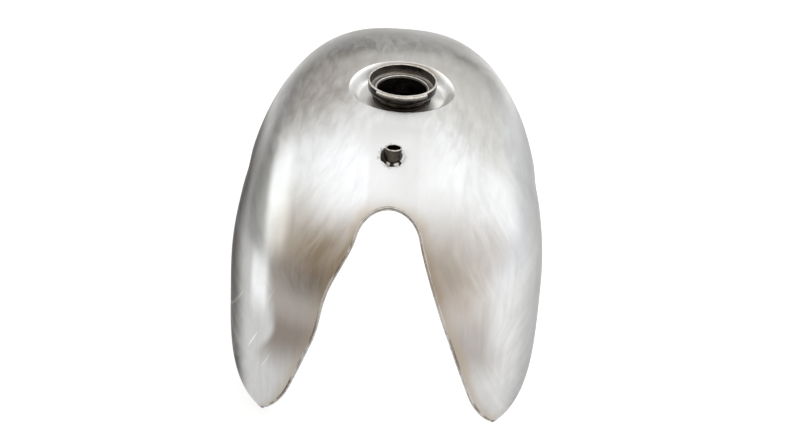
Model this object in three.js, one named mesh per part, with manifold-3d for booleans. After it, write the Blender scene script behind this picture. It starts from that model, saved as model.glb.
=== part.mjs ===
// A bare steel motorcycle fuel tank of the saddle kind: two pressed outer halves welded along
// the crown, a tunnel pan that straddles the frame, narrow lobe floors, a bayonet filler in a
// dished recess and a short vent spigot. Millimetres, +Z up, nose towards -Y, and the origin
// is on the floor under the middle of the tank.
import * as THREE from 'three';
import { mergeVertices } from 'three/addons/utils/BufferGeometryUtils.js';
import Module from 'manifold-3d';

const wasm = await Module();
wasm.setup();

// ---------- Driving dimensions ----------

const SHEET = 1.2; // thickness of the body sheet
const GAP = 0.3; // clearance left between neighbouring pieces
const WELD_WIDTH = 1.6; // width of a ground seam weld
const SEAM_STEP = GAP + WELD_WIDTH + GAP; // from one sheet to the next across a seam weld

// Outer skin. Stations run from 0 at the nose to LENGTH at the tail.
const LENGTH = 560;
const HALF_WIDTH = 141;
const WAIST_Z = 113; // height of the widest line
const CROWN_Z = 285; // highest point of the skin
const KEEL_Z = -16; // where the section would close below the floor
const PEAK_STATION = 235; // the crown falls away behind this station
const TAIL_DROP = 88;
const TAIL_DROP_POWER = 1.7;
const TAPER_START = 200; // the sides draw in behind this station
const TAPER = 0.38;
const TAPER_POWER = 1.6;
const UPPER_POWER = 2.63; // squareness of the section above the waist
const LOWER_POWER = 4.2; // squareness of the section below the waist
const NOSE_SIDE = { run: 143, power: 2.75 };
const NOSE_TOP = { run: 270, power: 2.1 };
const NOSE_KEEL = { run: 85, power: 2.3 };
const TAIL_SIDE = { run: 120, power: 2.4 };
const TAIL_TOP = { run: 150, power: 2.3 };

// Knee recess on each flank: its box of stations and heights, and the width of its edges.
const KNEE_DEPTH = 8;
const KNEE_STATIONS = { from: 158, to: 395, fromEdge: 16, toEdge: 90 };
const KNEE_HEIGHTS = { from: 84, to: 196, fromEdge: 16, toEdge: 30 };

// Tunnel, which slopes down towards the tail and spreads open at the nose.
const ARCH_TOP = 219;
const ARCH_RADIUS = 27;
const WALL_SLOPE = 0.26; // sideways run of the wall for each millimetre down
const TUNNEL_FALL = 0.115; // drop of the tunnel for each millimetre towards the tail
const SPREAD = { drop: 20, slope: 0.12, ease: 25, full: 40, none: 190 };
const FLARE = { height: 58, curve: 0.0065 };
const BULGE = { depth: 6, from: 108, to: 200, full: 20, none: 90 }; // of the left wall's front edge

// Floors of the two lobes: flat, then swept up to the tail.
const FLOOR_FLAT_END = 350;
const FLOOR_RISE = 50;

// Filler, on an axis tilted forwards. Heights are measured from the edge of its recess.
const FILLER = { side: 4, station: 178, sink: 3.3, tilt: THREE.MathUtils.degToRad(8) };
const RECESS = { radius: 48, floorRadius: 37, depth: 8 };
const NECK = { outer: 24.2, inner: 22.5, bottom: -15 };
const CUP = { outer: 31, inner: 29.4, hole: 22.5, top: 10, seat: 0.5, bend: 4 };
const CAM = { outer: 33.3, bottom: 6, top: 9.4, halfAngle: THREE.MathUtils.degToRad(45) };
const GASKET_BEAD = 1.2; // radius of the raised ring on the seat
const NECK_FILLET = 2.6; // leg of the weld around the neck

// Vent spigot, on the centre line. It rises above the skin and drops below it.
const VENT = { side: 0, station: 90, outer: 7, inner: 6, rise: 8, drop: 12 };
const VENT_BEAD = { radius: 2.6, out: 2.4 }; // its weld, out from the wall of the spigot

// Fittings in the lobe floors.
const MOUNT_STATIONS = { front: 150, rear: 330 };
const MOUNT = { radius: 9, height: 14, bore: 3.4, boreDepth: 11, chamfer: 1.5 };
const TAP_STATION = 285;
const TAP = { radius: 11, height: 12, bore: 6 };

// Baffles across the inside.
const BAFFLE = { sheet: 1, lobeHole: 18, crownHole: 17, drain: 9, holeZ: 66 };
const BAFFLE_STATIONS = { front: 118, rear: 380 };

// Sizes of the tools that the pieces are cut with.
const REACH = 400; // larger than the tank in every direction
const CUT = 40; // how far a hole's tool runs to each side of a sheet

// Facets.
const AROUND = 40; // of the body, around a section
const ALONG = 34; // of the body, from nose to tail
const TURN = 32; // of a turned piece
const TURN_SMALL = 24; // of a small turned piece or hole
const TURN_LARGE = 40; // of the recess
const TUNNEL = { walls: 9, arch: 7, along: 14 };
const FLOOR_SWEEP = 6; // of the swept end of a floor
const BEND = 3; // of a curve in a turned outline

// ---------- Solids ----------

/** Makes a manifold-3d solid from a closed three.js geometry. */
function solid(geometry) {
  const bare = geometry.index ? geometry.clone() : geometry;
  bare.deleteAttribute('normal');
  bare.deleteAttribute('uv');
  const merged = mergeVertices(bare, 1e-3);
  const mesh = new wasm.Mesh({
    numProp: 3,
    vertProperties: new Float32Array(merged.attributes.position.array),
    triVerts: new Uint32Array(merged.index.array),
  });
  return new wasm.Manifold(mesh);
}

/** Turns a solid back into a three.js geometry. */
function geometryOf(body) {
  const mesh = body.getMesh();
  const geometry = new THREE.BufferGeometry();
  geometry.setAttribute('position', new THREE.BufferAttribute(mesh.vertProperties, 3));
  geometry.setIndex(new THREE.BufferAttribute(mesh.triVerts, 1));
  return geometry;
}

/** Moves every vertex of a geometry by a function of its position. */
function reshape(geometry, move) {
  const position = geometry.attributes.position;
  const point = new THREE.Vector3();
  for (let i = 0; i < position.count; i += 1) {
    point.fromBufferAttribute(position, i);
    const moved = move(point);
    position.setXYZ(i, moved.x, moved.y, moved.z);
  }
  return geometry;
}

/** Turns a closed shape of (radius, height) points about the Z axis. */
function turned(shape, segments = TURN) {
  const points = shape.getPoints(BEND);
  if (THREE.ShapeUtils.isClockWise(points)) points.reverse();
  if (!points[0].equals(points[points.length - 1])) points.push(points[0].clone());
  return new THREE.LatheGeometry(points, segments).rotateX(Math.PI / 2);
}

/** A shape with straight sides through the given [radius, height] corners. */
function outline(corners) {
  return new THREE.Shape(corners.map(([radius, height]) => new THREE.Vector2(radius, height)));
}

/** A cylinder about the Z axis between two heights. */
function rod(radius, bottom, top, segments = TURN) {
  const geometry = new THREE.CylinderGeometry(radius, radius, top - bottom, segments);
  return geometry.rotateX(Math.PI / 2).translate(0, 0, (top + bottom) / 2);
}

const yAt = (station) => station - LENGTH / 2;

// ---------- Body shape ----------

/** Rises from 0 at an end of the tank to 1 once the run is over. */
function endCurve(distance, { run, power }) {
  const left = Math.max(0, 1 - distance / run);
  return (1 - left ** power) ** (1 / power);
}

/** Half width, top and bottom of the outer skin at a station. */
function section(station) {
  const fromTail = LENGTH - station;
  const taper = Math.max(0, (station - TAPER_START) / (LENGTH - TAPER_START)) ** TAPER_POWER;
  const fall = Math.max(0, (station - PEAK_STATION) / (LENGTH - PEAK_STATION)) ** TAIL_DROP_POWER;
  const crown = CROWN_Z - TAIL_DROP * fall - WAIST_Z;
  const tailSide = endCurve(fromTail, TAIL_SIDE);
  return {
    halfWidth: HALF_WIDTH * endCurve(station, NOSE_SIDE) * (1 - TAPER * taper) * tailSide,
    above: crown * endCurve(station, NOSE_TOP) * endCurve(fromTail, TAIL_TOP),
    below: (WAIST_Z - KEEL_Z) * endCurve(station, NOSE_KEEL) * tailSide,
  };
}

/** 1 inside a knee recess, 0 outside it, and smooth between. */
function kneeShare(station, z) {
  const { smoothstep } = THREE.MathUtils;
  const along = KNEE_STATIONS;
  const up = KNEE_HEIGHTS;
  return smoothstep(station, along.from, along.from + along.fromEdge)
    * (1 - smoothstep(station, along.to - along.toEdge, along.to))
    * smoothstep(z, up.from, up.from + up.fromEdge)
    * (1 - smoothstep(z, up.to - up.toEdge, up.to));
}

/** A point of the outer skin; the angle is measured from straight up. */
function skinPoint(station, angle) {
  const { halfWidth, above, below } = section(station);
  if (halfWidth < 1e-6) return new THREE.Vector3(0, yAt(station), WAIST_Z);
  const side = Math.sin(angle);
  const rise = Math.cos(angle);
  const power = rise >= 0 ? UPPER_POWER : LOWER_POWER;
  const height = rise >= 0 ? above : below;
  const sum = Math.abs(side / halfWidth) ** power + Math.abs(rise / height) ** power;
  const radius = sum ** (-1 / power);
  const z = WAIST_Z + radius * rise;
  const x = radius * side - Math.sign(side) * KNEE_DEPTH * kneeShare(station, z) * Math.abs(side);
  return new THREE.Vector3(x, yAt(station), z);
}

/** The outward normal of the skin. */
function skinNormal(station, angle) {
  const step = 0.01;
  const near = Math.max(station - step, 0.001);
  const far = Math.min(station + step, LENGTH - 0.001);
  const along = skinPoint(far, angle).sub(skinPoint(near, angle));
  const round = skinPoint(station, angle + step).sub(skinPoint(station, angle - step));
  return round.cross(along).normalize();
}

/** The whole body as a closed solid, set in from the outer skin. */
function bodySolid(inset) {
  return solid(reshape(new THREE.SphereGeometry(1, AROUND, ALONG), (point) => {
    const station = LENGTH * (point.y + 1) / 2;
    const angle = Math.atan2(point.x, point.z);
    if (station < 1e-3) return new THREE.Vector3(0, yAt(inset), WAIST_Z);
    if (station > LENGTH - 1e-3) return new THREE.Vector3(0, yAt(LENGTH - inset), WAIST_Z);
    return skinPoint(station, angle).addScaledVector(skinNormal(station, angle), -inset);
  }));
}

/** How far the tunnel wall is spread at the nose, at a height above the tunnel's own datum. */
function noseSpread(station, height) {
  const share = 1 - THREE.MathUtils.smoothstep(station, SPREAD.full, SPREAD.none);
  const under = Math.max(0, ARCH_TOP - SPREAD.drop - height);
  const low = Math.max(0, FLARE.height - height);
  return share * (SPREAD.slope * under ** 2 / (under + SPREAD.ease) + FLARE.curve * low ** 2);
}

/** How far the left wall bulges out at the nose, at a height above the tunnel's own datum. */
function leftBulge(station, height) {
  const { smoothstep } = THREE.MathUtils;
  const middle = (BULGE.from + BULGE.to) / 2;
  return BULGE.depth * (1 - smoothstep(station, BULGE.full, BULGE.none))
    * smoothstep(height, BULGE.from, middle)
    * (1 - smoothstep(height, middle, BULGE.to));
}

const ARCH_ANGLE = Math.atan(WALL_SLOPE);
const WALL_TOP = {
  x: ARCH_RADIUS * Math.cos(ARCH_ANGLE),
  z: ARCH_TOP - ARCH_RADIUS + ARCH_RADIUS * Math.sin(ARCH_ANGLE),
};

/** Half the tunnel's width at a station and height, below its arch. */
function tunnelHalfWidth(station, z) {
  const height = z + TUNNEL_FALL * station;
  return WALL_TOP.x + (WALL_TOP.z - height) * WALL_SLOPE + noseSpread(station, height);
}

/** The tunnel as a closed solid that runs past both ends, grown by an amount all round. */
function tunnelSolid(growth) {
  const depth = 60; // how far the section runs below the floor
  const margin = 20; // how far it runs past each end
  const levels = TUNNEL.walls;
  const radius = ARCH_RADIUS + growth;
  const centreZ = ARCH_TOP - ARCH_RADIUS;
  const topX = radius * Math.cos(ARCH_ANGLE);
  const topZ = centreZ + radius * Math.sin(ARCH_ANGLE);
  const levelZ = (i) => topZ - (i * (topZ + depth)) / levels;
  const levelX = (i) => topX + (topZ - levelZ(i)) * WALL_SLOPE;
  const profile = new THREE.Shape();
  profile.moveTo(-levelX(levels), levelZ(levels));
  for (let i = levels; i >= 0; i -= 1) {
    profile.lineTo(levelX(i), levelZ(i));
  }
  profile.absarc(0, centreZ, radius, ARCH_ANGLE, Math.PI - ARCH_ANGLE, false);
  for (let i = 1; i < levels; i += 1) {
    profile.lineTo(-levelX(i), levelZ(i));
  }
  const geometry = new THREE.ExtrudeGeometry(profile, {
    depth: LENGTH + 2 * margin,
    steps: TUNNEL.along,
    curveSegments: TUNNEL.arch,
    bevelEnabled: false,
  });
  return solid(reshape(geometry.rotateX(Math.PI / 2), (point) => {
    const station = point.y + LENGTH + margin;
    const spread = Math.sign(point.x) * noseSpread(station, point.z);
    const bulge = point.x < 0 ? leftBulge(station, point.z) : 0;
    const x = point.x + spread - bulge;
    return new THREE.Vector3(x, yAt(station), point.z - TUNNEL_FALL * station);
  }));
}

/** Everything above the lobe floors, with the floors lifted by an amount. */
function aboveFloor(lift) {
  const reach = 25; // past each end
  const margin = 60; // above the crown and past both sides
  const width = 2 * HALF_WIDTH + margin;
  const end = LENGTH + reach;
  const ceiling = CROWN_Z + margin;
  const rise = FLOOR_RISE * ((end - FLOOR_FLAT_END) / (LENGTH - FLOOR_FLAT_END)) ** 2;
  const side = new THREE.Shape();
  side.moveTo(-reach, lift);
  side.lineTo(FLOOR_FLAT_END, lift);
  side.quadraticCurveTo((FLOOR_FLAT_END + end) / 2, lift, end, lift + rise);
  side.lineTo(end, ceiling);
  side.lineTo(-reach, ceiling);
  const options = { depth: width, curveSegments: FLOOR_SWEEP, bevelEnabled: false };
  const geometry = new THREE.ExtrudeGeometry(side, options);
  const turn = new THREE.Matrix4().makeBasis(
    new THREE.Vector3(0, 1, 0),
    new THREE.Vector3(0, 0, 1),
    new THREE.Vector3(1, 0, 0),
  );
  return solid(geometry.applyMatrix4(turn).translate(-width / 2, yAt(0), 0));
}

/** A box given by its lowest and highest corners. */
function block([x0, y0, z0], [x1, y1, z1]) {
  const geometry = new THREE.BoxGeometry(x1 - x0, y1 - y0, z1 - z0);
  return solid(geometry.translate((x0 + x1) / 2, (y0 + y1) / 2, (z0 + z1) / 2));
}

// Surfaces that more than one piece is cut from.
const skin = bodySolid(0);
const skinInside = bodySolid(SHEET);
const floorTop = aboveFloor(SHEET);
const overFloor = aboveFloor(0);
const tunnel = tunnelSolid(0);
const panBack = tunnelSolid(SHEET + GAP);
const shellEdge = tunnelSolid(SHEET + SEAM_STEP);
const bodySheet = skin.subtract(skinInside).intersect(overFloor);

// ---------- Filler ----------

const fillerSkin = skinPoint(FILLER.station, 0);
const filler = new THREE.Group();
filler.position.set(FILLER.side, fillerSkin.y, fillerSkin.z - FILLER.sink);
filler.rotation.x = FILLER.tilt;
filler.updateMatrix();

/** The pressed dish that the filler stands in. */
function recessGeometry() {
  const { radius, floorRadius, depth } = RECESS;
  const hole = NECK.outer + GAP;
  const bend = (radius - floorRadius) * 0.45; // reach of the handles that round the shoulder
  const dish = new THREE.Shape();
  dish.moveTo(hole, -depth);
  dish.lineTo(hole, -depth - SHEET);
  dish.lineTo(floorRadius, -depth - SHEET);
  dish.bezierCurveTo(floorRadius + bend, -depth - SHEET, radius - bend, -SHEET, radius, -SHEET);
  dish.lineTo(radius, 0);
  dish.bezierCurveTo(radius - bend, 0, floorRadius + bend, -depth, floorRadius, -depth);
  dish.closePath();
  return turned(dish, TURN_LARGE);
}

function neckTubeGeometry() {
  const top = CUP.seat - SHEET - GAP;
  const { outer, inner, bottom } = NECK;
  return turned(outline([[inner, bottom], [outer, bottom], [outer, top], [inner, top]]));
}

/** The cup, bent in to a flat seat below its rim, with two cam flanges outside it. */
function bayonetRingGeometry() {
  const { outer, inner, hole, top, seat, bend } = CUP;
  const bendInside = bend - (outer - inner);
  const bandInner = (inner + outer) / 2;
  const cup = outline([
    [hole, seat - SHEET], [outer - bend, seat - SHEET], [outer, seat - SHEET + bend], [outer, top],
    [inner, top], [inner, seat + bendInside], [inner - bendInside, seat], [hole, seat],
  ]);
  const band = outline([
    [bandInner, CAM.bottom], [CAM.outer, CAM.bottom],
    [CAM.outer, CAM.top], [bandInner, CAM.top],
  ]);
  const front = -Math.PI / 2;
  const wedge = new THREE.Shape(); // wider and taller than the band
  wedge.moveTo(0, 0);
  wedge.absarc(0, 0, 2 * outer, front - CAM.halfAngle, front + CAM.halfAngle, false);
  wedge.closePath();
  const sector = new THREE.ExtrudeGeometry(wedge, { depth: 3 * top, bevelEnabled: false });
  const frontSector = solid(sector.clone().translate(0, 0, -top));
  const rearSector = solid(sector.rotateZ(Math.PI).translate(0, 0, -top));
  const ring = solid(turned(band));
  const cams = ring.intersect(frontSector.add(rearSector));
  return geometryOf(solid(turned(cup)).add(cams));
}

/** The raised ring that the cap's gasket closes on. */
function gasketSeatGeometry() {
  const bead = GASKET_BEAD;
  const bottom = CUP.seat + GAP;
  const middle = CUP.hole + GAP + bead;
  const ring = new THREE.Shape();
  ring.moveTo(middle - bead, bottom);
  ring.lineTo(middle + bead, bottom);
  ring.lineTo(middle + bead, bottom + bead / 2);
  ring.absarc(middle, bottom + bead / 2, bead, 0, Math.PI, false);
  ring.closePath();
  return turned(ring);
}

/** The fillet weld around the neck, on the floor of the dish. */
function neckWeldGeometry() {
  const leg = NECK_FILLET;
  const bulge = 0.75 * leg; // a full, slightly rounded fillet
  const inner = NECK.outer + GAP;
  const bottom = GAP - RECESS.depth;
  const fillet = new THREE.Shape();
  fillet.moveTo(inner, bottom);
  fillet.lineTo(inner + leg, bottom);
  fillet.quadraticCurveTo(inner + bulge, bottom + bulge, inner, bottom + leg);
  fillet.closePath();
  return turned(fillet);
}

const recessTool = rod(RECESS.radius + GAP, -CUT, CUT, TURN_LARGE);
const recessHole = solid(recessTool.applyMatrix4(filler.matrix));

// ---------- Vent ----------

const ventRoot = skinPoint(VENT.station, 0).setX(VENT.side);
const ventTool = rod(VENT.outer + GAP, -CUT, CUT, TURN_SMALL);
const ventHole = solid(ventTool.translate(ventRoot.x, ventRoot.y, ventRoot.z));

function ventSpigotGeometry() {
  const { outer, inner, rise, drop } = VENT;
  return turned(outline([[inner, -drop], [outer, -drop], [outer, rise], [inner, rise]]), TURN_SMALL);
}

/** The thick weld around the root of the spigot, lying on the sloping skin. */
function ventWeldGeometry() {
  const middle = VENT.outer + VENT_BEAD.out;
  const circle = new THREE.Shape().absarc(middle, 0, VENT_BEAD.radius, 0, 2 * Math.PI, false);
  const normal = skinNormal(VENT.station, 0);
  const lean = Math.atan2(-normal.y, normal.z);
  const torus = turned(circle, TURN_SMALL).scale(1, 1 / Math.cos(lean), 1).rotateX(lean);
  const bead = solid(torus.translate(ventRoot.x, ventRoot.y, ventRoot.z));
  return geometryOf(bead.subtract(bodySolid(-GAP)).subtract(ventHole));
}

// ---------- Shell and seams ----------

/** One outer half, from the crown seam round to the lobe floor and the tunnel edge. */
function shellGeometry(side) {
  const edge = WELD_WIDTH / 2 + GAP;
  const near = side > 0 ? [edge, -REACH, -REACH] : [-REACH, -REACH, -REACH];
  const far = side > 0 ? [REACH, REACH, REACH] : [-edge, REACH, REACH];
  const half = bodySheet.subtract(shellEdge).intersect(block(near, far));
  return geometryOf(half.subtract(recessHole).subtract(ventHole));
}

/** The crown seam weld between two stations. */
function crownSeamGeometry(from, to) {
  const half = WELD_WIDTH / 2;
  const strip = block([-half, yAt(from), WAIST_Z], [half, yAt(to), REACH]);
  const weld = bodySheet.intersect(strip).subtract(shellEdge);
  return geometryOf(weld.subtract(recessHole).subtract(ventHole));
}

/** The weld between the shell and the pan around the arch at one end. */
function archWeldGeometry(from, to) {
  const strip = tunnelSolid(SHEET + GAP + WELD_WIDTH).subtract(panBack);
  const part = block([-REACH, yAt(from), -REACH], [REACH, yAt(to), REACH]);
  return geometryOf(bodySheet.intersect(strip).intersect(part));
}

// ---------- Pan, floors and baffles ----------

function tunnelPanGeometry() {
  return geometryOf(tunnelSolid(SHEET).subtract(tunnel).intersect(skin).intersect(overFloor));
}

const floorSheet = overFloor.subtract(floorTop);
const FLOOR_ENDS = { from: 84, to: 548 };

/** Keeps what lies on one side of the tank between the ends of the floors. */
function sidePart(side) {
  const x = [0, side * REACH].sort((a, b) => a - b);
  return block([x[0], yAt(FLOOR_ENDS.from), -REACH], [x[1], yAt(FLOOR_ENDS.to), REACH]);
}

/** The middle of a lobe floor at a station, between the pan and the shell. */
function floorMiddle(station) {
  const below = section(station).below;
  const reach = 1 - (WAIST_Z / below) ** LOWER_POWER;
  const shellX = section(station).halfWidth * reach ** (1 / LOWER_POWER) - SHEET - SEAM_STEP;
  return (shellX + tunnelHalfWidth(station, 0) + SHEET) / 2;
}

/** The holes for the fittings in the floor on one side. */
function fittingHoles(side) {
  const stations = [MOUNT_STATIONS.front, MOUNT_STATIONS.rear, TAP_STATION];
  const radii = [MOUNT.radius, MOUNT.radius, TAP.radius];
  return stations.map((station, i) => {
    const hole = rod(radii[i] + GAP, -CUT, CUT, TURN_SMALL);
    return solid(hole.translate(side * floorMiddle(station), yAt(station), 0));
  });
}

function floorPlateGeometry(side) {
  const inside = bodySolid(SHEET + SEAM_STEP);
  const plate = floorSheet.intersect(inside).subtract(panBack).intersect(sidePart(side));
  return geometryOf(fittingHoles(side).reduce((left, hole) => left.subtract(hole), plate));
}

function floorWeldGeometry(side) {
  const strip = bodySolid(SHEET + GAP).subtract(bodySolid(SHEET + GAP + WELD_WIDTH));
  return geometryOf(floorSheet.intersect(strip).subtract(shellEdge).intersect(sidePart(side)));
}

/** A horseshoe plate across the inside, with a hole in each lobe, one in the crown and drains. */
function baffleGeometry(station) {
  const y = yAt(station);
  const half = BAFFLE.sheet / 2;
  const slab = block([-REACH, y - half, -REACH], [REACH, y + half, REACH]);
  const inside = bodySolid(SHEET + GAP).intersect(aboveFloor(SHEET + GAP)).subtract(panBack);
  const crownZ = (skinPoint(station, 0).z + ARCH_TOP - TUNNEL_FALL * station) / 2;
  const lobeX = (tunnelHalfWidth(station, BAFFLE.holeZ) + section(station).halfWidth) / 2;
  const holes = [[0, crownZ, BAFFLE.crownHole]];
  for (const side of [-1, 1]) {
    holes.push([side * lobeX, BAFFLE.holeZ, BAFFLE.lobeHole]);
    holes.push([side * floorMiddle(station), SHEET, BAFFLE.drain]);
  }
  const plate = slab.intersect(inside);
  return geometryOf(holes.reduce((left, [x, z, radius]) => {
    const hole = rod(radius, -CUT, CUT, TURN_SMALL).rotateX(Math.PI / 2).translate(x, y, z);
    return left.subtract(solid(hole));
  }, plate));
}

// ---------- Floor fittings ----------

/** A blind threaded boss, flush with the floor, that a mounting bolt screws up into. */
function mountBossGeometry() {
  const { radius, height, bore, boreDepth, chamfer } = MOUNT;
  return turned(outline([
    [bore, 0], [radius, 0], [radius, height - chamfer], [radius - chamfer, height],
    [0, height], [0, boreDepth], [bore, boreDepth],
  ]), TURN_SMALL);
}

/** A through-bored boss that a fuel tap screws up into. */
function tapBossGeometry() {
  const { radius, height, bore } = TAP;
  return turned(outline([[bore, 0], [radius, 0], [radius, height], [bore, height]]), TURN_SMALL);
}

// ---------- Materials and assembly ----------

const steel = (color, roughness) => new THREE.MeshStandardMaterial({ color, roughness, metalness: 1 });
const bodySteel = steel(0xc9c9c7, 0.35);
const panSteel = steel(0xa5a49f, 0.45);
const weldSteel = steel(0x7a746c, 0.55);
const fillerSteel = steel(0xb3ada5, 0.3);
const bossSteel = steel(0xa9abad, 0.4);

const tank = new THREE.Group();

/** Adds a named piece to the tank, or to a group inside it. */
function addPiece(name, geometry, material, parent = tank) {
  const mesh = new THREE.Mesh(geometry, material);
  mesh.name = name;
  parent.add(mesh);
  return mesh;
}

const sides = { left: -1, right: 1 };

for (const [name, side] of Object.entries(sides)) {
  addPiece(`shell_${name}`, shellGeometry(side), bodySteel);
  addPiece(`floor_plate_${name}`, floorPlateGeometry(side), panSteel);
  addPiece(`floor_weld_${name}`, floorWeldGeometry(side), weldSteel);
  for (const [end, station] of Object.entries(MOUNT_STATIONS)) {
    const boss = addPiece(`mount_boss_${end}_${name}`, mountBossGeometry(), bossSteel);
    boss.position.set(side * floorMiddle(station), yAt(station), 0);
  }
  const tap = addPiece(`tap_boss_${name}`, tapBossGeometry(), bossSteel);
  tap.position.set(side * floorMiddle(TAP_STATION), yAt(TAP_STATION), 0);
}

addPiece('crown_seam_front', crownSeamGeometry(0, VENT.station), bodySteel);
addPiece('crown_seam_middle', crownSeamGeometry(VENT.station, FILLER.station), bodySteel);
addPiece('crown_seam_rear', crownSeamGeometry(FILLER.station, LENGTH), bodySteel);
addPiece('tunnel_pan', tunnelPanGeometry(), panSteel);
addPiece('arch_weld_front', archWeldGeometry(0, LENGTH / 2), weldSteel);
addPiece('arch_weld_rear', archWeldGeometry(LENGTH / 2, LENGTH), weldSteel);
addPiece('baffle_front', baffleGeometry(BAFFLE_STATIONS.front), panSteel);
addPiece('baffle_rear', baffleGeometry(BAFFLE_STATIONS.rear), panSteel);

tank.add(filler);
addPiece('filler_recess', recessGeometry(), bodySteel, filler);
addPiece('filler_neck_tube', neckTubeGeometry(), fillerSteel, filler);
addPiece('bayonet_ring', bayonetRingGeometry(), fillerSteel, filler);
addPiece('gasket_seat', gasketSeatGeometry(), fillerSteel, filler);
addPiece('neck_weld', neckWeldGeometry(), weldSteel, filler);

addPiece('vent_spigot', ventSpigotGeometry(), fillerSteel).position.copy(ventRoot);
addPiece('vent_weld', ventWeldGeometry(), weldSteel);

export default tank;
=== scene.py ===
"""Looks of a bare, hand-sanded steel motorcycle fuel tank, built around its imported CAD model.

Shapes are worked out in millimetres with +Z up and the nose towards -Y, and turned into metres
when a mesh is made. Stations run along the tank, from 0 at the nose to LENGTH at the tail.
"""
import math

import bmesh
import bpy
import numpy as np
from mathutils import Matrix, Vector


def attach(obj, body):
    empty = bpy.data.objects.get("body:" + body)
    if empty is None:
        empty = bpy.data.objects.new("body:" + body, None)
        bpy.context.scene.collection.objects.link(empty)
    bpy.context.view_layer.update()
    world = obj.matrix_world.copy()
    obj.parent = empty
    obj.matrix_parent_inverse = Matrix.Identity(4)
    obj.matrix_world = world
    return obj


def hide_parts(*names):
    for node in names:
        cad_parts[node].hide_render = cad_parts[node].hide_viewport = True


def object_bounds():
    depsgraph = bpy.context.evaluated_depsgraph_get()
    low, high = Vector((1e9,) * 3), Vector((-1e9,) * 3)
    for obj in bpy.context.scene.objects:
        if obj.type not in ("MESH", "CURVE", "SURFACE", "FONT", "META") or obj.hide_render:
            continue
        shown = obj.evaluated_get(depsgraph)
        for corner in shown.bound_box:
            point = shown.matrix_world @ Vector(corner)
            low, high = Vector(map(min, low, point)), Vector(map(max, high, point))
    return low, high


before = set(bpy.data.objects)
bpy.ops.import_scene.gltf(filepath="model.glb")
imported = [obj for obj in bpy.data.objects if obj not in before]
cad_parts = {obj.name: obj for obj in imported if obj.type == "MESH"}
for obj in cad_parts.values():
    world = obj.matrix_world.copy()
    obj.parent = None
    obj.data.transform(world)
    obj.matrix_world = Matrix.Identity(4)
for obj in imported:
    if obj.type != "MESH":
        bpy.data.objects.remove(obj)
CAD_BOX = [list(corner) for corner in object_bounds()]
BOX_LOW, BOX_HIGH = (np.array(corner) * 1000 for corner in CAD_BOX)

# ---------- Driving dimensions, in millimetres ----------

SHEET = 1.2
LENGTH = 560.0
HALF_WIDTH = 141.0
WAIST_Z = 113.0
CROWN_Z = 285.0
KEEL_Z = -16.0
UPPER_POWER = 2.63
LOWER_POWER = 4.2
ARCH_TOP = 219.0
ARCH_RADIUS = 27.0
WALL_SLOPE = 0.26
TUNNEL_FALL = 0.115
FLOOR_FLAT_END = 350.0
FLOOR_RISE = 50.0
FLOOR_FROM, FLOOR_TO = 84.0, 548.0
SEAM_HALF = 0.8  # half the width of the crown seam weld
SHELL_EDGE = SHEET + 1.6  # from the tunnel to the edge of the shell
KNEE_DEPTH = 8.0
DENT_DEPTH = 0.42

# How the section changes along the tank: the run and the power of each end's curve, and where the
# tail's taper and the crown's fall start.
WIDTH_NOSE, WIDTH_TAIL = (143, 2.75), (120, 2.4)
CROWN_NOSE, CROWN_TAIL = (270, 2.1), (150, 2.3)
BELLY_NOSE = (85, 2.3)
TAPER_START, TAPER_POWER, TAPER_SHARE = 200, 1.6, 0.38
FALL_START, FALL_POWER, CROWN_FALL = 235, 1.7, 88
KNEE_NOSE, KNEE_TAIL = (158, 174), (305, 395)  # stations over which the knee recess starts and ends
KNEE_LOW, KNEE_HIGH = (84, 100), (166, 196)  # heights over which it starts and ends
BULGE, BULGE_STATIONS = 6.0, (20, 90)
BULGE_LOW, BULGE_HIGH = (108, 154), (154, 200)

FILLER_SIDE, FILLER_STATION = 4.0, 178.0
FILLER_SINK, FILLER_TILT = 3.3, math.radians(8)
RECESS_RADIUS, RECESS_DEPTH = 48.0, 8.0
# Where highlights are painted on the dish: the middle and half the angle in degrees, and on its slope or its
# floor.
DISH_HIGHLIGHTS = ((150, 42, "slope"), (28, 34, "slope"), (232, 34, "floor"), (-30, 40, "floor"))
DISH_SLOPE_FOOT, DISH_SLOPE_TOP = (36, 40), (48, 53)  # radii over which the slope fades in and out
DISH_SHOULDER = 9.5  # width of the dish's rounded shoulder
NECK_OUTER, NECK_INNER, NECK_BOTTOM = 24.2, 22.5, -15.0
CUP_OUTER, CUP_INNER, CUP_HOLE, CUP_TOP, CUP_SEAT = 31.0, 29.4, 22.5, 10.0, 0.5
CUP_BEND = 4.4  # how far up the cup is bent in to its seat
CAM_OUTER, CAM_BOTTOM, CAM_HALF_ANGLE = 33.3, 6.0, math.radians(45)
VENT_SIDE, VENT_STATION = 0.0, 90.0
VENT_OUTER, VENT_INNER, VENT_RISE, VENT_DROP = 7.0, 6.0, 8.0, 12.0
MOUNT_STATIONS = {"front": 150.0, "rear": 330.0}
TAP_STATION = 285.0

# ---------- Body shape ----------


def end_curve(distance, run, power):
    left = np.clip(1 - distance / run, 0, 1)
    return np.maximum(1 - left**power, 0) ** (1 / power)


def smooth(x, low, high):
    t = np.clip((x - low) / (high - low), 0, 1)
    return t * t * (3 - 2 * t)


def section(s):
    """Half width, height above the waist and depth below it, at a station."""
    taper = np.clip((s - TAPER_START) / (LENGTH - TAPER_START), 0, 1) ** TAPER_POWER
    fall = np.clip((s - FALL_START) / (LENGTH - FALL_START), 0, 1) ** FALL_POWER
    tail = end_curve(LENGTH - s, *WIDTH_TAIL)
    half = HALF_WIDTH * end_curve(s, *WIDTH_NOSE) * (1 - TAPER_SHARE * taper) * tail
    crown = CROWN_Z - CROWN_FALL * fall - WAIST_Z
    above = crown * end_curve(s, *CROWN_NOSE) * end_curve(LENGTH - s, *CROWN_TAIL)
    below = (WAIST_Z - KEEL_Z) * end_curve(s, *BELLY_NOSE) * tail
    return half, above, below


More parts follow.
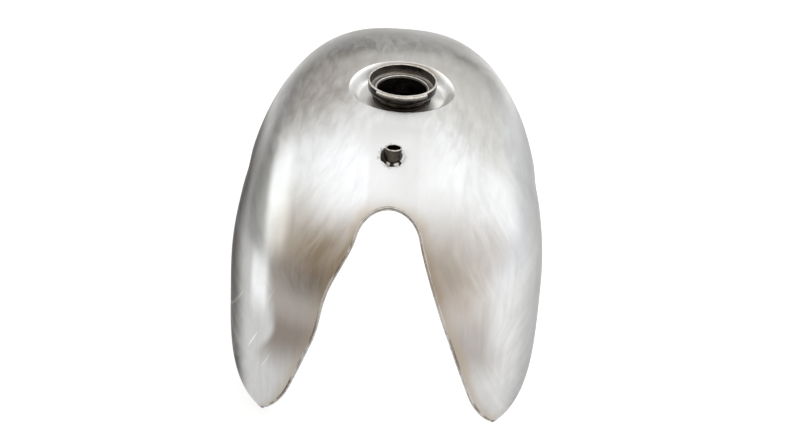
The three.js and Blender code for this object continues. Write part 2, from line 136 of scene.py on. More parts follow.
def knee(s, z):
    along = smooth(s, *KNEE_NOSE) * (1 - smooth(s, *KNEE_TAIL))
    return along * smooth(z, *KNEE_LOW) * (1 - smooth(z, *KNEE_HIGH))


def floor_z(s):
    return FLOOR_RISE * (np.maximum(0, s - FLOOR_FLAT_END) / (LENGTH - FLOOR_FLAT_END)) ** 2


def nose_spread(s, h):
    under = np.maximum(0, ARCH_TOP - 20 - h)
    low = np.maximum(0, 58 - h)
    return (1 - smooth(s, 40, 190)) * (0.12 * under**2 / (under + 25) + 0.0065 * low**2)


def left_bulge(s, x, h):
    """How far the front edge of the tunnel's left wall bulges out."""
    share = (1 - smooth(s, *BULGE_STATIONS)) * (x < 0)
    return BULGE * share * smooth(h, *BULGE_LOW) * (1 - smooth(h, *BULGE_HIGH))


ARCH_ANGLE = math.atan(WALL_SLOPE)


def wall_x(s, h, growth=0.0):
    """Half width of the tunnel below its arch, h being the height above the tunnel's own datum."""
    radius = ARCH_RADIUS + growth
    top_x = radius * math.cos(ARCH_ANGLE)
    top_h = ARCH_TOP - ARCH_RADIUS + radius * math.sin(ARCH_ANGLE)
    return top_x + (top_h - h) * WALL_SLOPE + nose_spread(s, h)


def tunnel_field(s, x, z, growth=0.0):
    """Distance outside the tunnel, grown by an amount. It is negative inside."""
    h = z + TUNNEL_FALL * s
    out = np.abs(x) - left_bulge(s, x, h)
    side = out - nose_spread(s, h)
    rise = h - (ARCH_TOP - ARCH_RADIUS)
    round_part = np.hypot(side, rise) - ARCH_RADIUS - growth
    flat_part = (out - wall_x(s, h, growth)) * math.cos(ARCH_ANGLE)
    return np.where(rise > side * WALL_SLOPE, round_part, flat_part)


def raw_skin(s, a):
    half, above, below = section(s)
    side, rise = np.sin(a), np.cos(a)
    power = np.where(rise >= 0, UPPER_POWER, LOWER_POWER)
    height = np.where(rise >= 0, above, below)
    terms = np.abs(side / np.maximum(half, 1e-6)) ** power + np.abs(rise / np.maximum(height, 1e-6)) ** power
    radius = terms ** (-1 / power)
    z = WAIST_Z + radius * rise
    x = radius * side - np.sign(side) * KNEE_DEPTH * knee(s, z) * np.abs(side)
    return np.stack([x, s - LENGTH / 2 + 0 * a, z], -1)


def normals_of(surface, p, q, step_p, step_q):
    along = surface(p + step_p, q) - surface(p - step_p, q)
    across = surface(p, q + step_q) - surface(p, q - step_q)
    normal = np.cross(across, along)
    return normal / np.maximum(np.linalg.norm(normal, axis=-1, keepdims=True), 1e-12)


def raw_normal(s, a):
    return normals_of(raw_skin, np.clip(s, 0.1, LENGTH - 0.1), a, 0.05, 0.002)


def dents(point):
    """Slight unevenness of hand-worked sheet, from 0 to -1."""
    x, y, z = point[..., 0], point[..., 1], point[..., 2]
    wave = np.sin(x / 23 + 1.3) * np.sin(y / 29 + 0.4 + x / 60)
    wave = wave + np.sin(z / 19 + y / 47) * np.sin(x / 33 - z / 41 + 2.0)
    wave = wave + 0.6 * np.sin(y / 13 + z / 37 + 0.7) * np.sin(x / 15 - y / 51)
    return -0.5 - wave / 5.2


def skin(s, a):
    """The outer surface as it really is, with its dents, which fade out towards the arch and floor."""
    point = raw_skin(s, a)
    clear = smooth(tunnel_field(s, point[..., 0], point[..., 2]), 3, 30) * smooth(point[..., 2], 2, 25)
    clear = clear * smooth(filler_radius(point), RECESS_RADIUS, RECESS_RADIUS + 14)
    return point + raw_normal(s, a) * (DENT_DEPTH * clear * dents(point))[..., None]


def skin_normal(s, a):
    return normals_of(skin, np.clip(s, 0.6, LENGTH - 0.6), a, 0.4, 0.004)


crown_at_filler = float(raw_skin(np.array(FILLER_STATION), np.array(0.0))[2])
FILLER_ORIGIN = np.array([FILLER_SIDE, FILLER_STATION - LENGTH / 2, crown_at_filler - FILLER_SINK])
FILLER_TURN = np.array(Matrix.Rotation(FILLER_TILT, 3, "X"))
VENT_TOP = raw_skin(np.array(VENT_STATION), np.array(0.0)) + [VENT_SIDE, 0, 0]


def to_filler(point):
    return (point - FILLER_ORIGIN) @ FILLER_TURN


def from_filler(point):
    return point @ FILLER_TURN.T + FILLER_ORIGIN


def filler_radius(point):
    local = to_filler(point)
    return np.hypot(local[..., 0], local[..., 1])


def outside_skin(point):
    """Positive outside the skin, ignoring dents."""
    x, s, z = point[..., 0], point[..., 1] + LENGTH / 2, point[..., 2]
    half, above, below = section(s)
    up = z >= WAIST_Z
    power = np.where(up, UPPER_POWER, LOWER_POWER)
    height = np.maximum(np.where(up, above, below), 1e-6)
    level = np.abs(x / np.maximum(half, 1e-6)) ** power + np.abs((z - WAIST_Z) / height) ** power
    return (level ** (1 / power) - 1) * 100


# ---------- Meshes ----------


def bisect(low, high, value, rounds=40):
    """Where value turns from negative at low to positive at high, for arrays of parameters."""
    for _ in range(rounds):
        middle = (low + high) / 2
        positive = value(middle) > 0
        high = np.where(positive, middle, high)
        low = np.where(positive, low, middle)
    return (low + high) / 2


def clip(params, faces, field, reach):
    """Keeps the part of a triangle mesh where field(p, q) is positive, cut cleanly along its zero line."""

    def value_at(pq):
        return field(pq[:, 0], pq[:, 1])

    value = value_at(params)
    near = np.nonzero(np.abs(value) < reach)[0]
    steps = np.ptp(params, axis=0) * 1e-4
    for _ in range(3):
        pq = params[near]
        here = value_at(pq)
        slope_p = (value_at(pq + [steps[0], 0]) - here) / steps[0]
        slope_q = (value_at(pq + [0, steps[1]]) - here) / steps[1]
        size = slope_p**2 * CELL[0] ** 2 + slope_q**2 * CELL[1] ** 2 + 1e-12
        move = np.stack([slope_p * CELL[0] ** 2, slope_q * CELL[1] ** 2], 1) * (here / size)[:, None]
        moved = pq - np.clip(move, -0.6 * CELL, 0.6 * CELL)
        params[near] = moved
    value = value_at(params)
    value[np.abs(value) < reach * 0.02] = 0
    sign = np.sign(value)[faces]
    keep = faces[(sign >= 0).all(1) & (sign > 0).any(1)]
    crossing = faces[(sign > 0).any(1) & (sign < 0).any(1)]
    edges = set()
    for face in crossing:
        for k in range(3):
            i, j = int(face[k]), int(face[(k + 1) % 3])
            if value[i] * value[j] < 0:
                edges.add((i, j) if value[i] < 0 else (j, i))
    edges = sorted(edges)
    if edges:
        pairs = np.array(edges)
        low, high = params[pairs[:, 0]], params[pairs[:, 1]]
        share = bisect(
            np.zeros(len(pairs)),
            np.ones(len(pairs)),
            lambda t: value_at(low + (high - low) * t[:, None]),
        )
        cut = low + (high - low) * share[:, None]
    else:
        cut = np.zeros((0, 2))
    number = {edge: len(params) + n for n, edge in enumerate(edges)}
    made = []
    for face in crossing:
        loop = []
        for k in range(3):
            i, j = int(face[k]), int(face[(k + 1) % 3])
            if value[i] >= 0:
                loop.append(i)
            if value[i] * value[j] < 0:
                loop.append(number[(i, j) if value[i] < 0 else (j, i)])
        made += [(loop[0], loop[k], loop[k + 1]) for k in range(1, len(loop) - 1)]
    params = np.vstack([params, cut])
    faces = np.vstack([keep, np.array(made, int).reshape(-1, 3)])
    used, faces = np.unique(faces, return_inverse=True)
    return params[used], faces.reshape(-1, 3)


CELL = np.array([1.0, 1.0])


def patch(rows, columns, fields, reach=0.8):
    """A triangle mesh over a grid of parameters, clipped by fields."""
    global CELL
    p, q = np.meshgrid(rows, columns, indexing="ij")
    params = np.stack([p.ravel(), q.ravel()], 1)
    n, m = len(rows), len(columns)
    i, j = np.meshgrid(np.arange(n - 1), np.arange(m - 1), indexing="ij")
    a = (i * m + j).ravel()
    odd = ((i + j) % 2).ravel().astype(bool)
    b, c, d = a + 1, a + m + 1, a + m
    first = np.where(odd[:, None], np.stack([a, b, d], 1), np.stack([a, b, c], 1))
    second = np.where(odd[:, None], np.stack([b, c, d], 1), np.stack([a, c, d], 1))
    faces = np.vstack([first, second])
    CELL = np.array([np.ptp(rows) / (n - 1), np.ptp(columns) / (m - 1)])
    for field in fields:
        params, faces = clip(params, faces, field, reach)
    return params, faces


def boundary(faces):
    """Directed edges that only one face uses."""
    edges = np.vstack([faces[:, [0, 1]], faces[:, [1, 2]], faces[:, [2, 0]]])
    forward = {(int(i), int(j)) for i, j in edges}
    return np.array([e for e in forward if (e[1], e[0]) not in forward])


def make_object(name, points, faces, loop_normals=None, attributes=None, smooth_faces=True):
    """An object from millimetre points, kept within the CAD model's box."""
    points = np.clip(points, BOX_LOW, BOX_HIGH)
    mesh = bpy.data.meshes.new(name)
    mesh.from_pydata((points / 1000).tolist(), [], [list(map(int, f)) for f in faces])
    mesh.polygons.foreach_set("use_smooth", [smooth_faces] * len(mesh.polygons))
    for key, values in (attributes or {}).items():
        mesh.attributes.new(key, "FLOAT", "POINT").data.foreach_set("value", np.asarray(values, np.float32))
    mesh.update()
    if loop_normals is not None:
        mesh.normals_split_custom_set(loop_normals.tolist())
    obj = bpy.data.objects.new(name, mesh)
    bpy.context.scene.collection.objects.link(obj)
    return obj


def sheet_object(name, outer, normal, faces, thickness, attributes=None):
    """A closed sheet: the outer surface, the inner one behind it, and a strip along every edge."""
    count = len(outer)
    across = np.cross(outer[faces[:, 1]] - outer[faces[:, 0]], outer[faces[:, 2]] - outer[faces[:, 0]])
    facing = np.einsum("ij,ij->i", across, normal[faces].mean(1)) > 0
    if facing.mean() < 0.5:
        faces = faces[:, ::-1]
    edge = boundary(faces)
    rim = np.stack([edge[:, 1], edge[:, 0], edge[:, 0] + count, edge[:, 1] + count], 1)
    points = np.vstack([outer, outer - normal * thickness])
    side = np.cross(points[rim[:, 1]] - points[rim[:, 0]], points[rim[:, 3]] - points[rim[:, 0]])
    side = side / np.maximum(np.linalg.norm(side, axis=1, keepdims=True), 1e-12)
    loops = np.vstack([
        normal[faces].reshape(-1, 3),
        -normal[faces[:, ::-1]].reshape(-1, 3),
        np.repeat(side, 4, axis=0),
    ])
    both = {key: np.concatenate([value, value]) for key, value in (attributes or {}).items()}
    every = list(faces) + list(faces[:, ::-1] + count) + list(rim)
    return make_object(name, points, every, loops, both)


def turned(name, outline, place, segments=96, radial=None, soot_and_shade=None):
    """A closed outline of (radius, height) points turned about an axis, then put in its place.

    The last argument, given (radius, height), says how dark each point of the outline is, from soot and from
    painted shade.
    """
    outline = np.array(outline, float)
    area = np.sum(outline[:, 0] * np.roll(outline[:, 1], -1) - np.roll(outline[:, 0], -1) * outline[:, 1])
    if area < 0:
        outline = outline[::-1]
    angle = np.linspace(0, 2 * math.pi, segments, endpoint=False)
    radius = np.repeat(outline[None, :, 0], segments, 0)
    height = np.repeat(outline[None, :, 1], segments, 0)
    turn = np.repeat(angle[:, None], len(outline), 1)
    if radial:
        radius, height = radial(radius, height, turn)
    points = np.stack([radius * np.cos(turn), radius * np.sin(turn), height], -1).reshape(-1, 3)
    dark = soot_and_shade(radius, height).ravel() if soot_and_shade else np.zeros(len(points))
    m = len(outline)
    faces = []
    for i in range(segments):
        for j in range(m):
            k = (j + 1) % m
            i2 = (i + 1) % segments
            faces.append((i * m + j, i2 * m + j, i2 * m + k, i * m + k))
    obj = make_object(name, place(points), faces, attributes={"soot_and_shade": dark})
    sharpen(obj)
    return obj


def paint(obj, key, values):
    """Stores a number at every vertex for the material to read."""
    obj.data.attributes.new(key, "FLOAT", "POINT").data.foreach_set("value", np.asarray(values, np.float32))


def sharpen(obj, angle=math.radians(38)):
    """Marks the edges that turn more than an angle as sharp."""
    bm = bmesh.new()
    bm.from_mesh(obj.data)
    bmesh.ops.remove_doubles(bm, verts=bm.verts, dist=2e-6)
    bmesh.ops.recalc_face_normals(bm, faces=bm.faces)
    for edge in bm.edges:
        edge.smooth = len(edge.link_faces) == 2 and edge.calc_face_angle(0) < angle
    bm.to_mesh(obj.data)
    bm.free()


def rounded(corners, steps=4):
    """An outline whose [radius, height, rounding] corners are turned into small arcs."""
    made = []
    count = len(corners)
    for i in range(count):
        here = np.array(corners[i][:2], float)
        cut = corners[i][2]
        if cut <= 0:
            made.append(here)
            continue
        before = np.array(corners[i - 1][:2], float) - here
        after = np.array(corners[(i + 1) % count][:2], float) - here
        start = here + before / np.linalg.norm(before) * cut
        end = here + after / np.linalg.norm(after) * cut
        for t in np.linspace(0, 1, steps + 1):
            made.append((1 - t) ** 2 * start + 2 * t * (1 - t) * here + t**2 * end)
    return made


def value_noise(x, seed, octaves=3):
    """Smooth repeatable noise along a line, about -1 to 1."""
    rng = np.random.default_rng(seed)
    total = np.zeros_like(x)
    size = 1.0
    for _ in range(octaves):
        table = rng.uniform(-1, 1, 4096)
        cell = np.floor(x).astype(int)
        t = x - cell
        t = t * t * (3 - 2 * t)
        total += size * (table[cell % 4096] * (1 - t) + table[(cell + 1) % 4096] * t)
        x = x * 2.1 + 17
        size *= 0.5
    return total / 1.75


def bead(name, path, up, across, width, height, sides=12, closed=False, sink=0.5):
    """A weld bead along a path: an oval section of varying width and height, sunk in the sheet."""
    turn = np.linspace(0, 2 * math.pi, sides, endpoint=False)
    ring = path[:, None, :] + across[:, None, :] * (width[:, None] / 2 * np.cos(turn))[:, :, None]
    lift = (height[:, None] * (np.sin(turn) - 0.0)) - sink
    ring = ring + up[:, None, :] * lift[:, :, None]
    n = len(path)
    points = ring.reshape(-1, 3)
    faces = []
    for i in range(n if closed else n - 1):
        for j in range(sides):
            k = (j + 1) % sides
            i2 = (i + 1) % n
            faces.append((i * sides + j, i2 * sides + j, i2 * sides + k, i * sides + k))
    if not closed:
        faces.append(tuple(range(sides)))
        faces.append(tuple((n - 1) * sides + k for k in reversed(range(sides))))
    obj = make_object(name, points, faces)
    sharpen(obj, math.radians(60))
    return obj


# ---------- Shell ----------


def shell_fields(side):
    def point_of(s, a):
        return raw_skin(np.clip(s, 0.02, LENGTH - 0.02), a)

    def arch(s, a):
        p = point_of(s, a)
        return tunnel_field(s, p[..., 0] * side, p[..., 2], SHELL_EDGE)

    def above_floor(s, a):
        return point_of(s, a)[..., 2] - floor_z(s)

    def crown(s, a):
        return point_of(s, a)[..., 0] - SEAM_HALF

    def dish(s, a):
        p = point_of(s, a) * [side, 1, 1]
        return np.where(p[..., 2] > 200, filler_radius(p) - RECESS_RADIUS, 50)

    def vent(s, a):
        p = point_of(s, a) * [side, 1, 1]
        off = np.hypot(p[..., 0] - VENT_SIDE, p[..., 1] - VENT_TOP[1]) - VENT_OUTER - 0.1
        return np.where(p[..., 2] > 200, off, 50)

    return [arch, above_floor, crown, dish, vent]


def surface_facts(point, s):
    """Distances from the arch, the vent and the filler, and the knee recess, stored at each point. The
    material paints by the first two.
    """
    return {
        "arch_mm": tunnel_field(s, point[:, 0], point[:, 2]),
        "vent_mm": np.linalg.norm(point - VENT_TOP, axis=1),
        "filler_mm": np.where(point[:, 2] > 200, filler_radius(point), 200),
        "knee": knee(s, point[:, 2]),
    }


def make_shell(side):
    share = np.linspace(0, 1, 270)
    stations = LENGTH * (0.45 * share + 0.275 * (1 - np.cos(math.pi * share)))
    angles = np.linspace(0, math.pi, 190)

    params, faces = patch(stations, angles, shell_fields(side))
    angle = params[:, 1] * side
    station = np.clip(params[:, 0], 0.02, LENGTH - 0.02)
    outer = skin(station, angle)
    normal = skin_normal(station, angle)
    name = "left_shell" if side < 0 else "right_shell"
    return sheet_object(name, outer, normal, faces, SHEET, surface_facts(outer, station))


def arch_root(angles, growth, rear=False):
    """The station at which the skin meets the grown tunnel, for each angle."""
    inside = np.full(len(angles), LENGTH - 0.02 if rear else 0.02)
    outside = np.full(len(angles), LENGTH - 200.0 if rear else 200.0)

    def value(s):
        p = raw_skin(s, angles)
        return tunnel_field(s, p[..., 0], p[..., 2], growth)

    return bisect(inside, outside, value)


def resample(points, step):
    """Parameters 0..1 at equal steps along a polyline, as fractional indices."""
    length = np.concatenate([[0], np.cumsum(np.linalg.norm(np.diff(points, axis=0), axis=1))])
    count = max(2, int(length[-1] / step))
    return np.interp(np.linspace(0, length[-1], count), length, np.arange(len(points)))


def make_arch_weld(rear):
    """The weld around one mouth of the tunnel, from one lobe floor over the arch to the other."""
    middle = 1200
    fine = math.pi * 0.97 * np.linspace(-1, 1, 2 * middle + 1)
    s = arch_root(fine, SHEET + 0.8, rear)
    p = raw_skin(s, fine)
    below = np.nonzero(p[:, 2] <= floor_z(s) + 0.5)[0]
    first, last = below[below < middle].max() + 1, below[below > middle].min()
    angles = fine[first:last]
    index = resample(p[first:last], 0.9)
    angles = np.interp(index, np.arange(len(angles)), angles)
    stations = arch_root(angles, SHEET + 0.8, rear)
    path = raw_skin(stations, angles)
    up = raw_normal(stations, angles)
    along = np.gradient(path, axis=0)
    along /= np.linalg.norm(along, axis=1, keepdims=True)
    across = np.cross(along, up)
    across /= np.linalg.norm(across, axis=1, keepdims=True)
    run = np.arange(len(path)) * 0.9
    seed = 21 if rear else 11
    width = 2.0 + 0.4 * value_noise(run / 9, seed) + 0.25 * value_noise(run / 2.3, seed + 1)
    height = 0.60 + 0.15 * value_noise(run / 6, seed + 2) + 0.15 * value_noise(run / 1.7, seed + 3)
    name = "arch_weld_bead_rear" if rear else "arch_weld_bead_front"
    obj = bead(name, path, up, across, width, height, sink=0.35)
    run_at = np.interp([v.co.x * 1000 for v in obj.data.vertices], path[:, 0], run)
    ground = smooth(value_noise(run_at / 31, seed + 4) + 0.4 * value_noise(run_at / 7, seed + 5), -0.35, 0.25)
    paint(obj, "clean", 0.85 * ground)
    return obj


def make_seam(name, start, end):
    """A strip of the ground crown weld between two stations given for each x across it."""
    across = np.linspace(-SEAM_HALF, SEAM_HALF, 5)
    starts = np.array([start(x) for x in across])
    ends = np.array([end(x) for x in across])
    rows = max(8, int((ends[2] - starts[2]) / 1.6))
    share = np.linspace(0, 1, rows)[:, None]
    station = (starts + (ends - starts) * share).ravel()
    angle = np.arctan2(np.tile(across, rows), section(station)[1])
    outer = skin(station, angle)
    normal = skin_normal(station, angle)
    faces = []
    m = len(across)
    for i in range(rows - 1):
        for j in range(m - 1):
            a = i * m + j
            faces += [(a, a + 1, a + m + 1), (a, a + m + 1, a + m)]
    return sheet_object(name, outer, normal, np.array(faces), SHEET, surface_facts(outer, station))


def station_where(low, high, x, field):
    """The station between low, where the field is negative, and high, where it is positive."""
    for _ in range(50):
        middle = (low + high) / 2
        s = np.array(middle)
        value = field(skin(s, np.arctan2(x, section(s)[1])), s)
        if value > 0:
            high = middle
        else:
            low = middle
    return (low + high) / 2


def vent_field(p, s):
    return np.hypot(p[0] - VENT_SIDE, p[1] - VENT_TOP[1]) - VENT_OUTER - 0.1


def dish_field(p, s):
    return filler_radius(p) - RECESS_RADIUS


def tunnel_edge(p, s):
    return tunnel_field(s, p[0], p[2], SHELL_EDGE)


# ---------- Tunnel pan and floors ----------


def pan_profile(s, q):
    """Tunnel surface at a station; q runs from -1 at the left floor to 1 at the right floor."""
    side = np.sign(q) + (q == 0)
    t = np.abs(q)
    turn_share = 0.18
    on_arch = t < turn_share
    angle = math.pi / 2 - (math.pi / 2 - ARCH_ANGLE) * np.minimum(t / turn_share, 1)
    arch_x = ARCH_RADIUS * np.cos(angle)
    arch_h = ARCH_TOP - ARCH_RADIUS + ARCH_RADIUS * np.sin(angle)
    top_h = ARCH_TOP - ARCH_RADIUS + ARCH_RADIUS * math.sin(ARCH_ANGLE)
    bottom_h = TUNNEL_FALL * s - 3
    down = np.clip((t - turn_share) / (1 - turn_share), 0, 1)
    h = np.where(on_arch, arch_h, top_h + (bottom_h - top_h) * down)
    x = np.where(on_arch, arch_x + nose_spread(s, h), wall_x(s, h)) + left_bulge(s, side, h)
    return np.stack([side * x, s - LENGTH / 2 + 0 * q, h - TUNNEL_FALL * s], -1)


def make_pan():
    def within_skin(s, q):
        return -outside_skin(pan_profile(s, q))

    def over_floor(s, q):
        return pan_profile(s, q)[..., 2] - floor_z(s)

    stations = np.linspace(2, LENGTH - 2, 240)
    levels = np.linspace(-1, 1, 161)
    params, faces = patch(stations, levels, [within_skin, over_floor], reach=0.5)
    s, q = params[:, 0], params[:, 1]
    points = pan_profile(s, q)
    step = 0.004
    normal = normals_of(pan_profile, s, q, 0.4, step)
    centre = np.stack([0 * s, s - LENGTH / 2, ARCH_TOP - ARCH_RADIUS - 60 - TUNNEL_FALL * s], -1)
    inward = np.einsum("ij,ij->i", centre - points, normal)
    normal = normal * np.sign(inward)[:, None]
    return sheet_object("tunnel_saddle_pan", points, normal, faces, SHEET, surface_facts(points, s))


def floor_limits(s):
    """Inner and outer edge of a lobe floor at a station."""
    z = floor_z(s)
    half, _, below = section(s)
    reach = np.maximum(1 - np.clip((WAIST_Z - z) / np.maximum(below, 1e-6), 0, 1) ** LOWER_POWER, 0)
    outer = half * reach ** (1 / LOWER_POWER) - SHEET
    inner = wall_x(s, z + TUNNEL_FALL * s) + SHEET
    return inner, outer


def floor_middle(s):
    """Where the fittings stand, the same place as in the CAD model."""
    s = np.array(s)
    half, _, below = section(s)
    reach = 1 - (WAIST_Z / below) ** LOWER_POWER
    shell_x = half * reach ** (1 / LOWER_POWER) - SHEET - 2.2
    return float((shell_x + wall_x(s, TUNNEL_FALL * s) + SHEET) / 2)


def make_floor(side):
    def surface(s, q):
        inner, outer = floor_limits(s)
        x = side * (inner + (outer - inner) * q)
        return np.stack([x, s - LENGTH / 2 + 0 * q, floor_z(s) + 0 * q], -1)

    fields = []
    spots = [(MOUNT_STATIONS["front"], 9.0), (MOUNT_STATIONS["rear"], 9.0), (TAP_STATION, 11.0)]
    for station, radius in spots:
        def hole(s, q, station=station, radius=radius):
            p = surface(s, q)
            x = side * floor_middle(station)
            return np.hypot(p[..., 0] - x, p[..., 1] - station + LENGTH / 2) - radius
        fields.append(hole)
    stations = np.linspace(FLOOR_FROM + 1, FLOOR_TO - 14, 220)
    params, faces = patch(stations, np.linspace(0, 1, 22), fields, reach=0.5)
    s, q = params[:, 0], params[:, 1]
    points = surface(s, q)
    slope = (floor_z(s + 0.5) - floor_z(s - 0.5))[:, None]
    normal = np.concatenate([0 * slope, slope, -1 + 0 * slope], 1)
    normal /= np.linalg.norm(normal, axis=1, keepdims=True)
    name = "left_lobe_floor" if side < 0 else "right_lobe_floor"
    return sheet_object(name, points, normal, faces, SHEET, surface_facts(points, s))


def make_floor_weld(side):
    s = np.arange(FLOOR_FROM + 3, FLOOR_TO - 16, 1.0)
    _, outer = floor_limits(s)
    path = np.stack([side * (outer + 0.2), s - LENGTH / 2, floor_z(s) + 0.55], -1)
    along = np.gradient(path, axis=0)
    along /= np.linalg.norm(along, axis=1, keepdims=True)
    up = np.array([0, 0, -1.0]) - along * (along @ np.array([0, 0, -1.0]))[:, None]
    up /= np.linalg.norm(up, axis=1, keepdims=True)
    across = np.cross(along, up)
    seed = 31 if side < 0 else 41
    width = 2.2 + 0.35 * value_noise(s / 7, seed) + 0.3 * value_noise(s / 2, seed + 1)
    height = 0.6 + 0.12 * value_noise(s / 4, seed + 2)
    name = "left_floor_weld" if side < 0 else "right_floor_weld"
    return bead(name, path, up, across, width, height, sides=10, sink=0.0)


# ---------- Filler ----------


def skin_height_over_filler(x, y):
    """Height of the skin over the dish's plane, along the filler's own axis."""
    def value(t):
        return outside_skin(from_filler(np.stack([x, y, t], -1)))
    return bisect(np.full(x.shape, -25.0), np.full(x.shape, 25.0), value)


def dish_edge(turn):
    """Radius at which the dish leaves the skin. The front shoulder stands closer to the neck."""
    front = np.clip(-np.sin(turn), 0, 1) ** 1.5
    return RECESS_RADIUS - 8.5 * front


def make_dish():
    """The pressed dish: it leaves the skin smoothly, and turns down to a flat floor."""
    radii = np.linspace(NECK_OUTER + 0.1, RECESS_RADIUS, 44)
    turn = np.linspace(0, 2 * math.pi, 161)[:-1]
    r, t = np.meshgrid(radii, turn, indexing="ij")

    def surface(r, t):
        x, y = r * np.cos(t), r * np.sin(t)
        share = np.clip((dish_edge(t) - r) / DISH_SHOULDER, 0, 1)
        down = smooth(share**0.8, 0, 1)
        height = skin_height_over_filler(x, y) * (1 - down) - RECESS_DEPTH * down
        return from_filler(np.stack([x, y, height], -1))

    points = surface(r, t)
    normal = normals_of(surface, r, t, 0.05, 0.01)
    axis = FILLER_TURN @ np.array([0, 0, 1.0])
    normal = normal * np.sign(normal @ axis)[..., None]
    n, m = r.shape
    faces = []
    for i in range(n - 1):
        for j in range(m):
            k = (j + 1) % m
            a, b, c, d = i * m + j, (i + 1) * m + j, (i + 1) * m + k, i * m + k
            faces += [(a, b, c), (a, c, d)]
    points, normal = points.reshape(-1, 3), normal.reshape(-1, 3)
    facts = surface_facts(points, points[:, 1] + LENGTH / 2)
    obj = sheet_object("filler_dish", points, normal, np.array(faces), SHEET, facts)
    local = to_filler(np.array([tuple(vertex.co) for vertex in obj.data.vertices]) * 1000)
    angle = np.degrees(np.arctan2(local[:, 1], local[:, 0]))
    reach = np.hypot(local[:, 0], local[:, 1])
    parts = {
        "slope": smooth(reach, *DISH_SLOPE_FOOT) * (1 - smooth(reach, *DISH_SLOPE_TOP)),
        "floor": 1 - smooth(reach, *DISH_SLOPE_FOOT),
    }
    # Painted highlights on the dish's slope and floor, where it would mirror bright light.
    painted_highlight = np.zeros(len(local))
    for middle, half, where in DISH_HIGHLIGHTS:
        off = np.abs((angle - middle + 180) % 360 - 180)
        painted_highlight = np.maximum(painted_highlight, (1 - smooth(off, half * 0.5, half)) * parts[where])
    paint(obj, "painted_highlight", painted_highlight)
    return obj


def cam_share(turn):
    """1 on the front and rear cam flanges, 0 in the gaps between them."""
    off = np.abs(np.abs(((turn / math.pi * 180 + 360) % 360) - 180) - 90)
    half = math.degrees(CAM_HALF_ANGLE)
    return 1 - smooth(off, half - 1.2, half + 0.4)


def make_cup():
    """The cup with its rolled rim, its seat and two outward cam flanges."""
    lip = rounded([
        (CUP_HOLE, CUP_SEAT - SHEET, 0.3), (CUP_OUTER, CUP_SEAT - SHEET, CUP_BEND),
        (CUP_OUTER + 0.02, CAM_BOTTOM - 0.2, 0), (CUP_OUTER + 0.05, CAM_BOTTOM, 0.2),
        (CAM_OUTER, CAM_BOTTOM, 0.4),
        (CAM_OUTER, CAM_BOTTOM + 1.4, 0), (CAM_OUTER, CUP_TOP - 1.9, 0), (CAM_OUTER, CUP_TOP - 0.6, 0.7),
        (CUP_OUTER + 0.05, CUP_TOP - 0.6, 0.1), (CUP_OUTER, CUP_TOP, 0.35),
        (CUP_INNER, CUP_TOP, 0.4), (CUP_INNER, CUP_TOP - 0.7, 0), (CUP_INNER, CUP_TOP - 1.1, 0),
        (CUP_INNER, CUP_SEAT, CUP_BEND - 1.2), (CUP_HOLE, CUP_SEAT, 0.4),
    ])

    def radial(radius, height, turn):
        proud = np.maximum(radius - CUP_OUTER - 0.05, 0)
        share = cam_share(turn)
        radius = np.where(proud > 0, CUP_OUTER + 0.05 + proud * (0.02 + 0.98 * share), radius)
        within = ((turn / math.pi * 180 + 360) % 180 - 90) / math.degrees(CAM_HALF_ANGLE)
        ramp = np.where((height < CAM_BOTTOM + 1.5) & (proud > 0), -0.9 * np.clip(within, -1, 1) * share, 0)
        return radius, height + ramp

    # Dark on the cup's outer wall under the cam flanges, on the flange faces towards their bottom, and down
    # its inside: partly burnt steel, partly painted shade.
    def soot_and_shade(radius, height):
        flange = smooth(radius, CUP_OUTER + 0.8, CUP_OUTER + 1.6)
        wall = (radius > CUP_INNER + 0.3) * (1 - smooth(height, 8.8, 9.35)) * (1 - flange)
        cleaner = 0.45 * smooth(height, CAM_BOTTOM, CAM_BOTTOM + 1.4) + 0.55 * smooth(height, 8.2, 9.0)
        face = flange * (1 - cleaner)
        inside = (radius < CUP_INNER + 0.15) * (1 - smooth(height, 8.9, 9.3))
        return np.maximum(np.maximum(wall, face), 0.72 * inside)
    return turned("filler_cup", lip, from_filler, 192, radial, soot_and_shade)


def make_gasket_seat():
    middle, bottom, half = CUP_HOLE + 1.3, CUP_SEAT + 0.05, 0.9
    outline = [(middle - half, bottom)]
    for t in np.linspace(0, math.pi, 13):
        outline.append((middle - half * math.cos(t), bottom + 0.6 + half * math.sin(t)))
    outline.append((middle + half, bottom))
    return turned("gasket_bead", outline, from_filler, 128)


def make_neck():
    top = CUP_SEAT - SHEET - 0.05
    outline = rounded([
        (NECK_INNER, NECK_BOTTOM, 0.4), (NECK_OUTER, NECK_BOTTOM, 0.4),
        (NECK_OUTER, top, 0), (NECK_INNER, top, 0),
    ])

    def soot_and_shade(radius, height):
        """Dark outside, and a little less inside: partly burnt steel, partly painted shade under the cup and
        down the bore.
        """
        return 0.74 + 0.26 * (radius > NECK_INNER + 0.5)
    return turned("filler_neck", outline, from_filler, 128, soot_and_shade=soot_and_shade)


def make_neck_weld():
    turn = np.linspace(0, 2 * math.pi, 260, endpoint=False)
    radius = NECK_OUTER + 1.1
    local = np.stack([radius * np.cos(turn), radius * np.sin(turn), 0 * turn - RECESS_DEPTH + 1.0], -1)
    outward = np.stack([np.cos(turn), np.sin(turn), 0 * turn], -1)
    up = outward * 0.7 + np.array([0, 0, 0.714])
    across = np.cross(np.stack([-np.sin(turn), np.cos(turn), 0 * turn], -1), up)
    run = turn * radius
    wave = np.sin(run * 2.4 + 0.6 * np.sin(run * 0.31))
    width = 3.6 + 0.35 * np.sin(turn * 5 + 1) + 0.15 * wave
    height = 1.05 + 0.16 * wave + 0.12 * np.sin(turn * 3)
    spin = FILLER_TURN.T
    path, up, across = from_filler(local), up @ spin, across @ spin
    obj = bead("neck_weld_bead", path, up, across, width, height, closed=True, sink=0.35)
    # Dark all over: partly a burnt weld, partly painted shade under the cup.
    paint(obj, "soot_and_shade", np.ones(len(obj.data.vertices)))
    return obj


# ---------- Vent ----------


def at_vent(points):
    return points + VENT_TOP


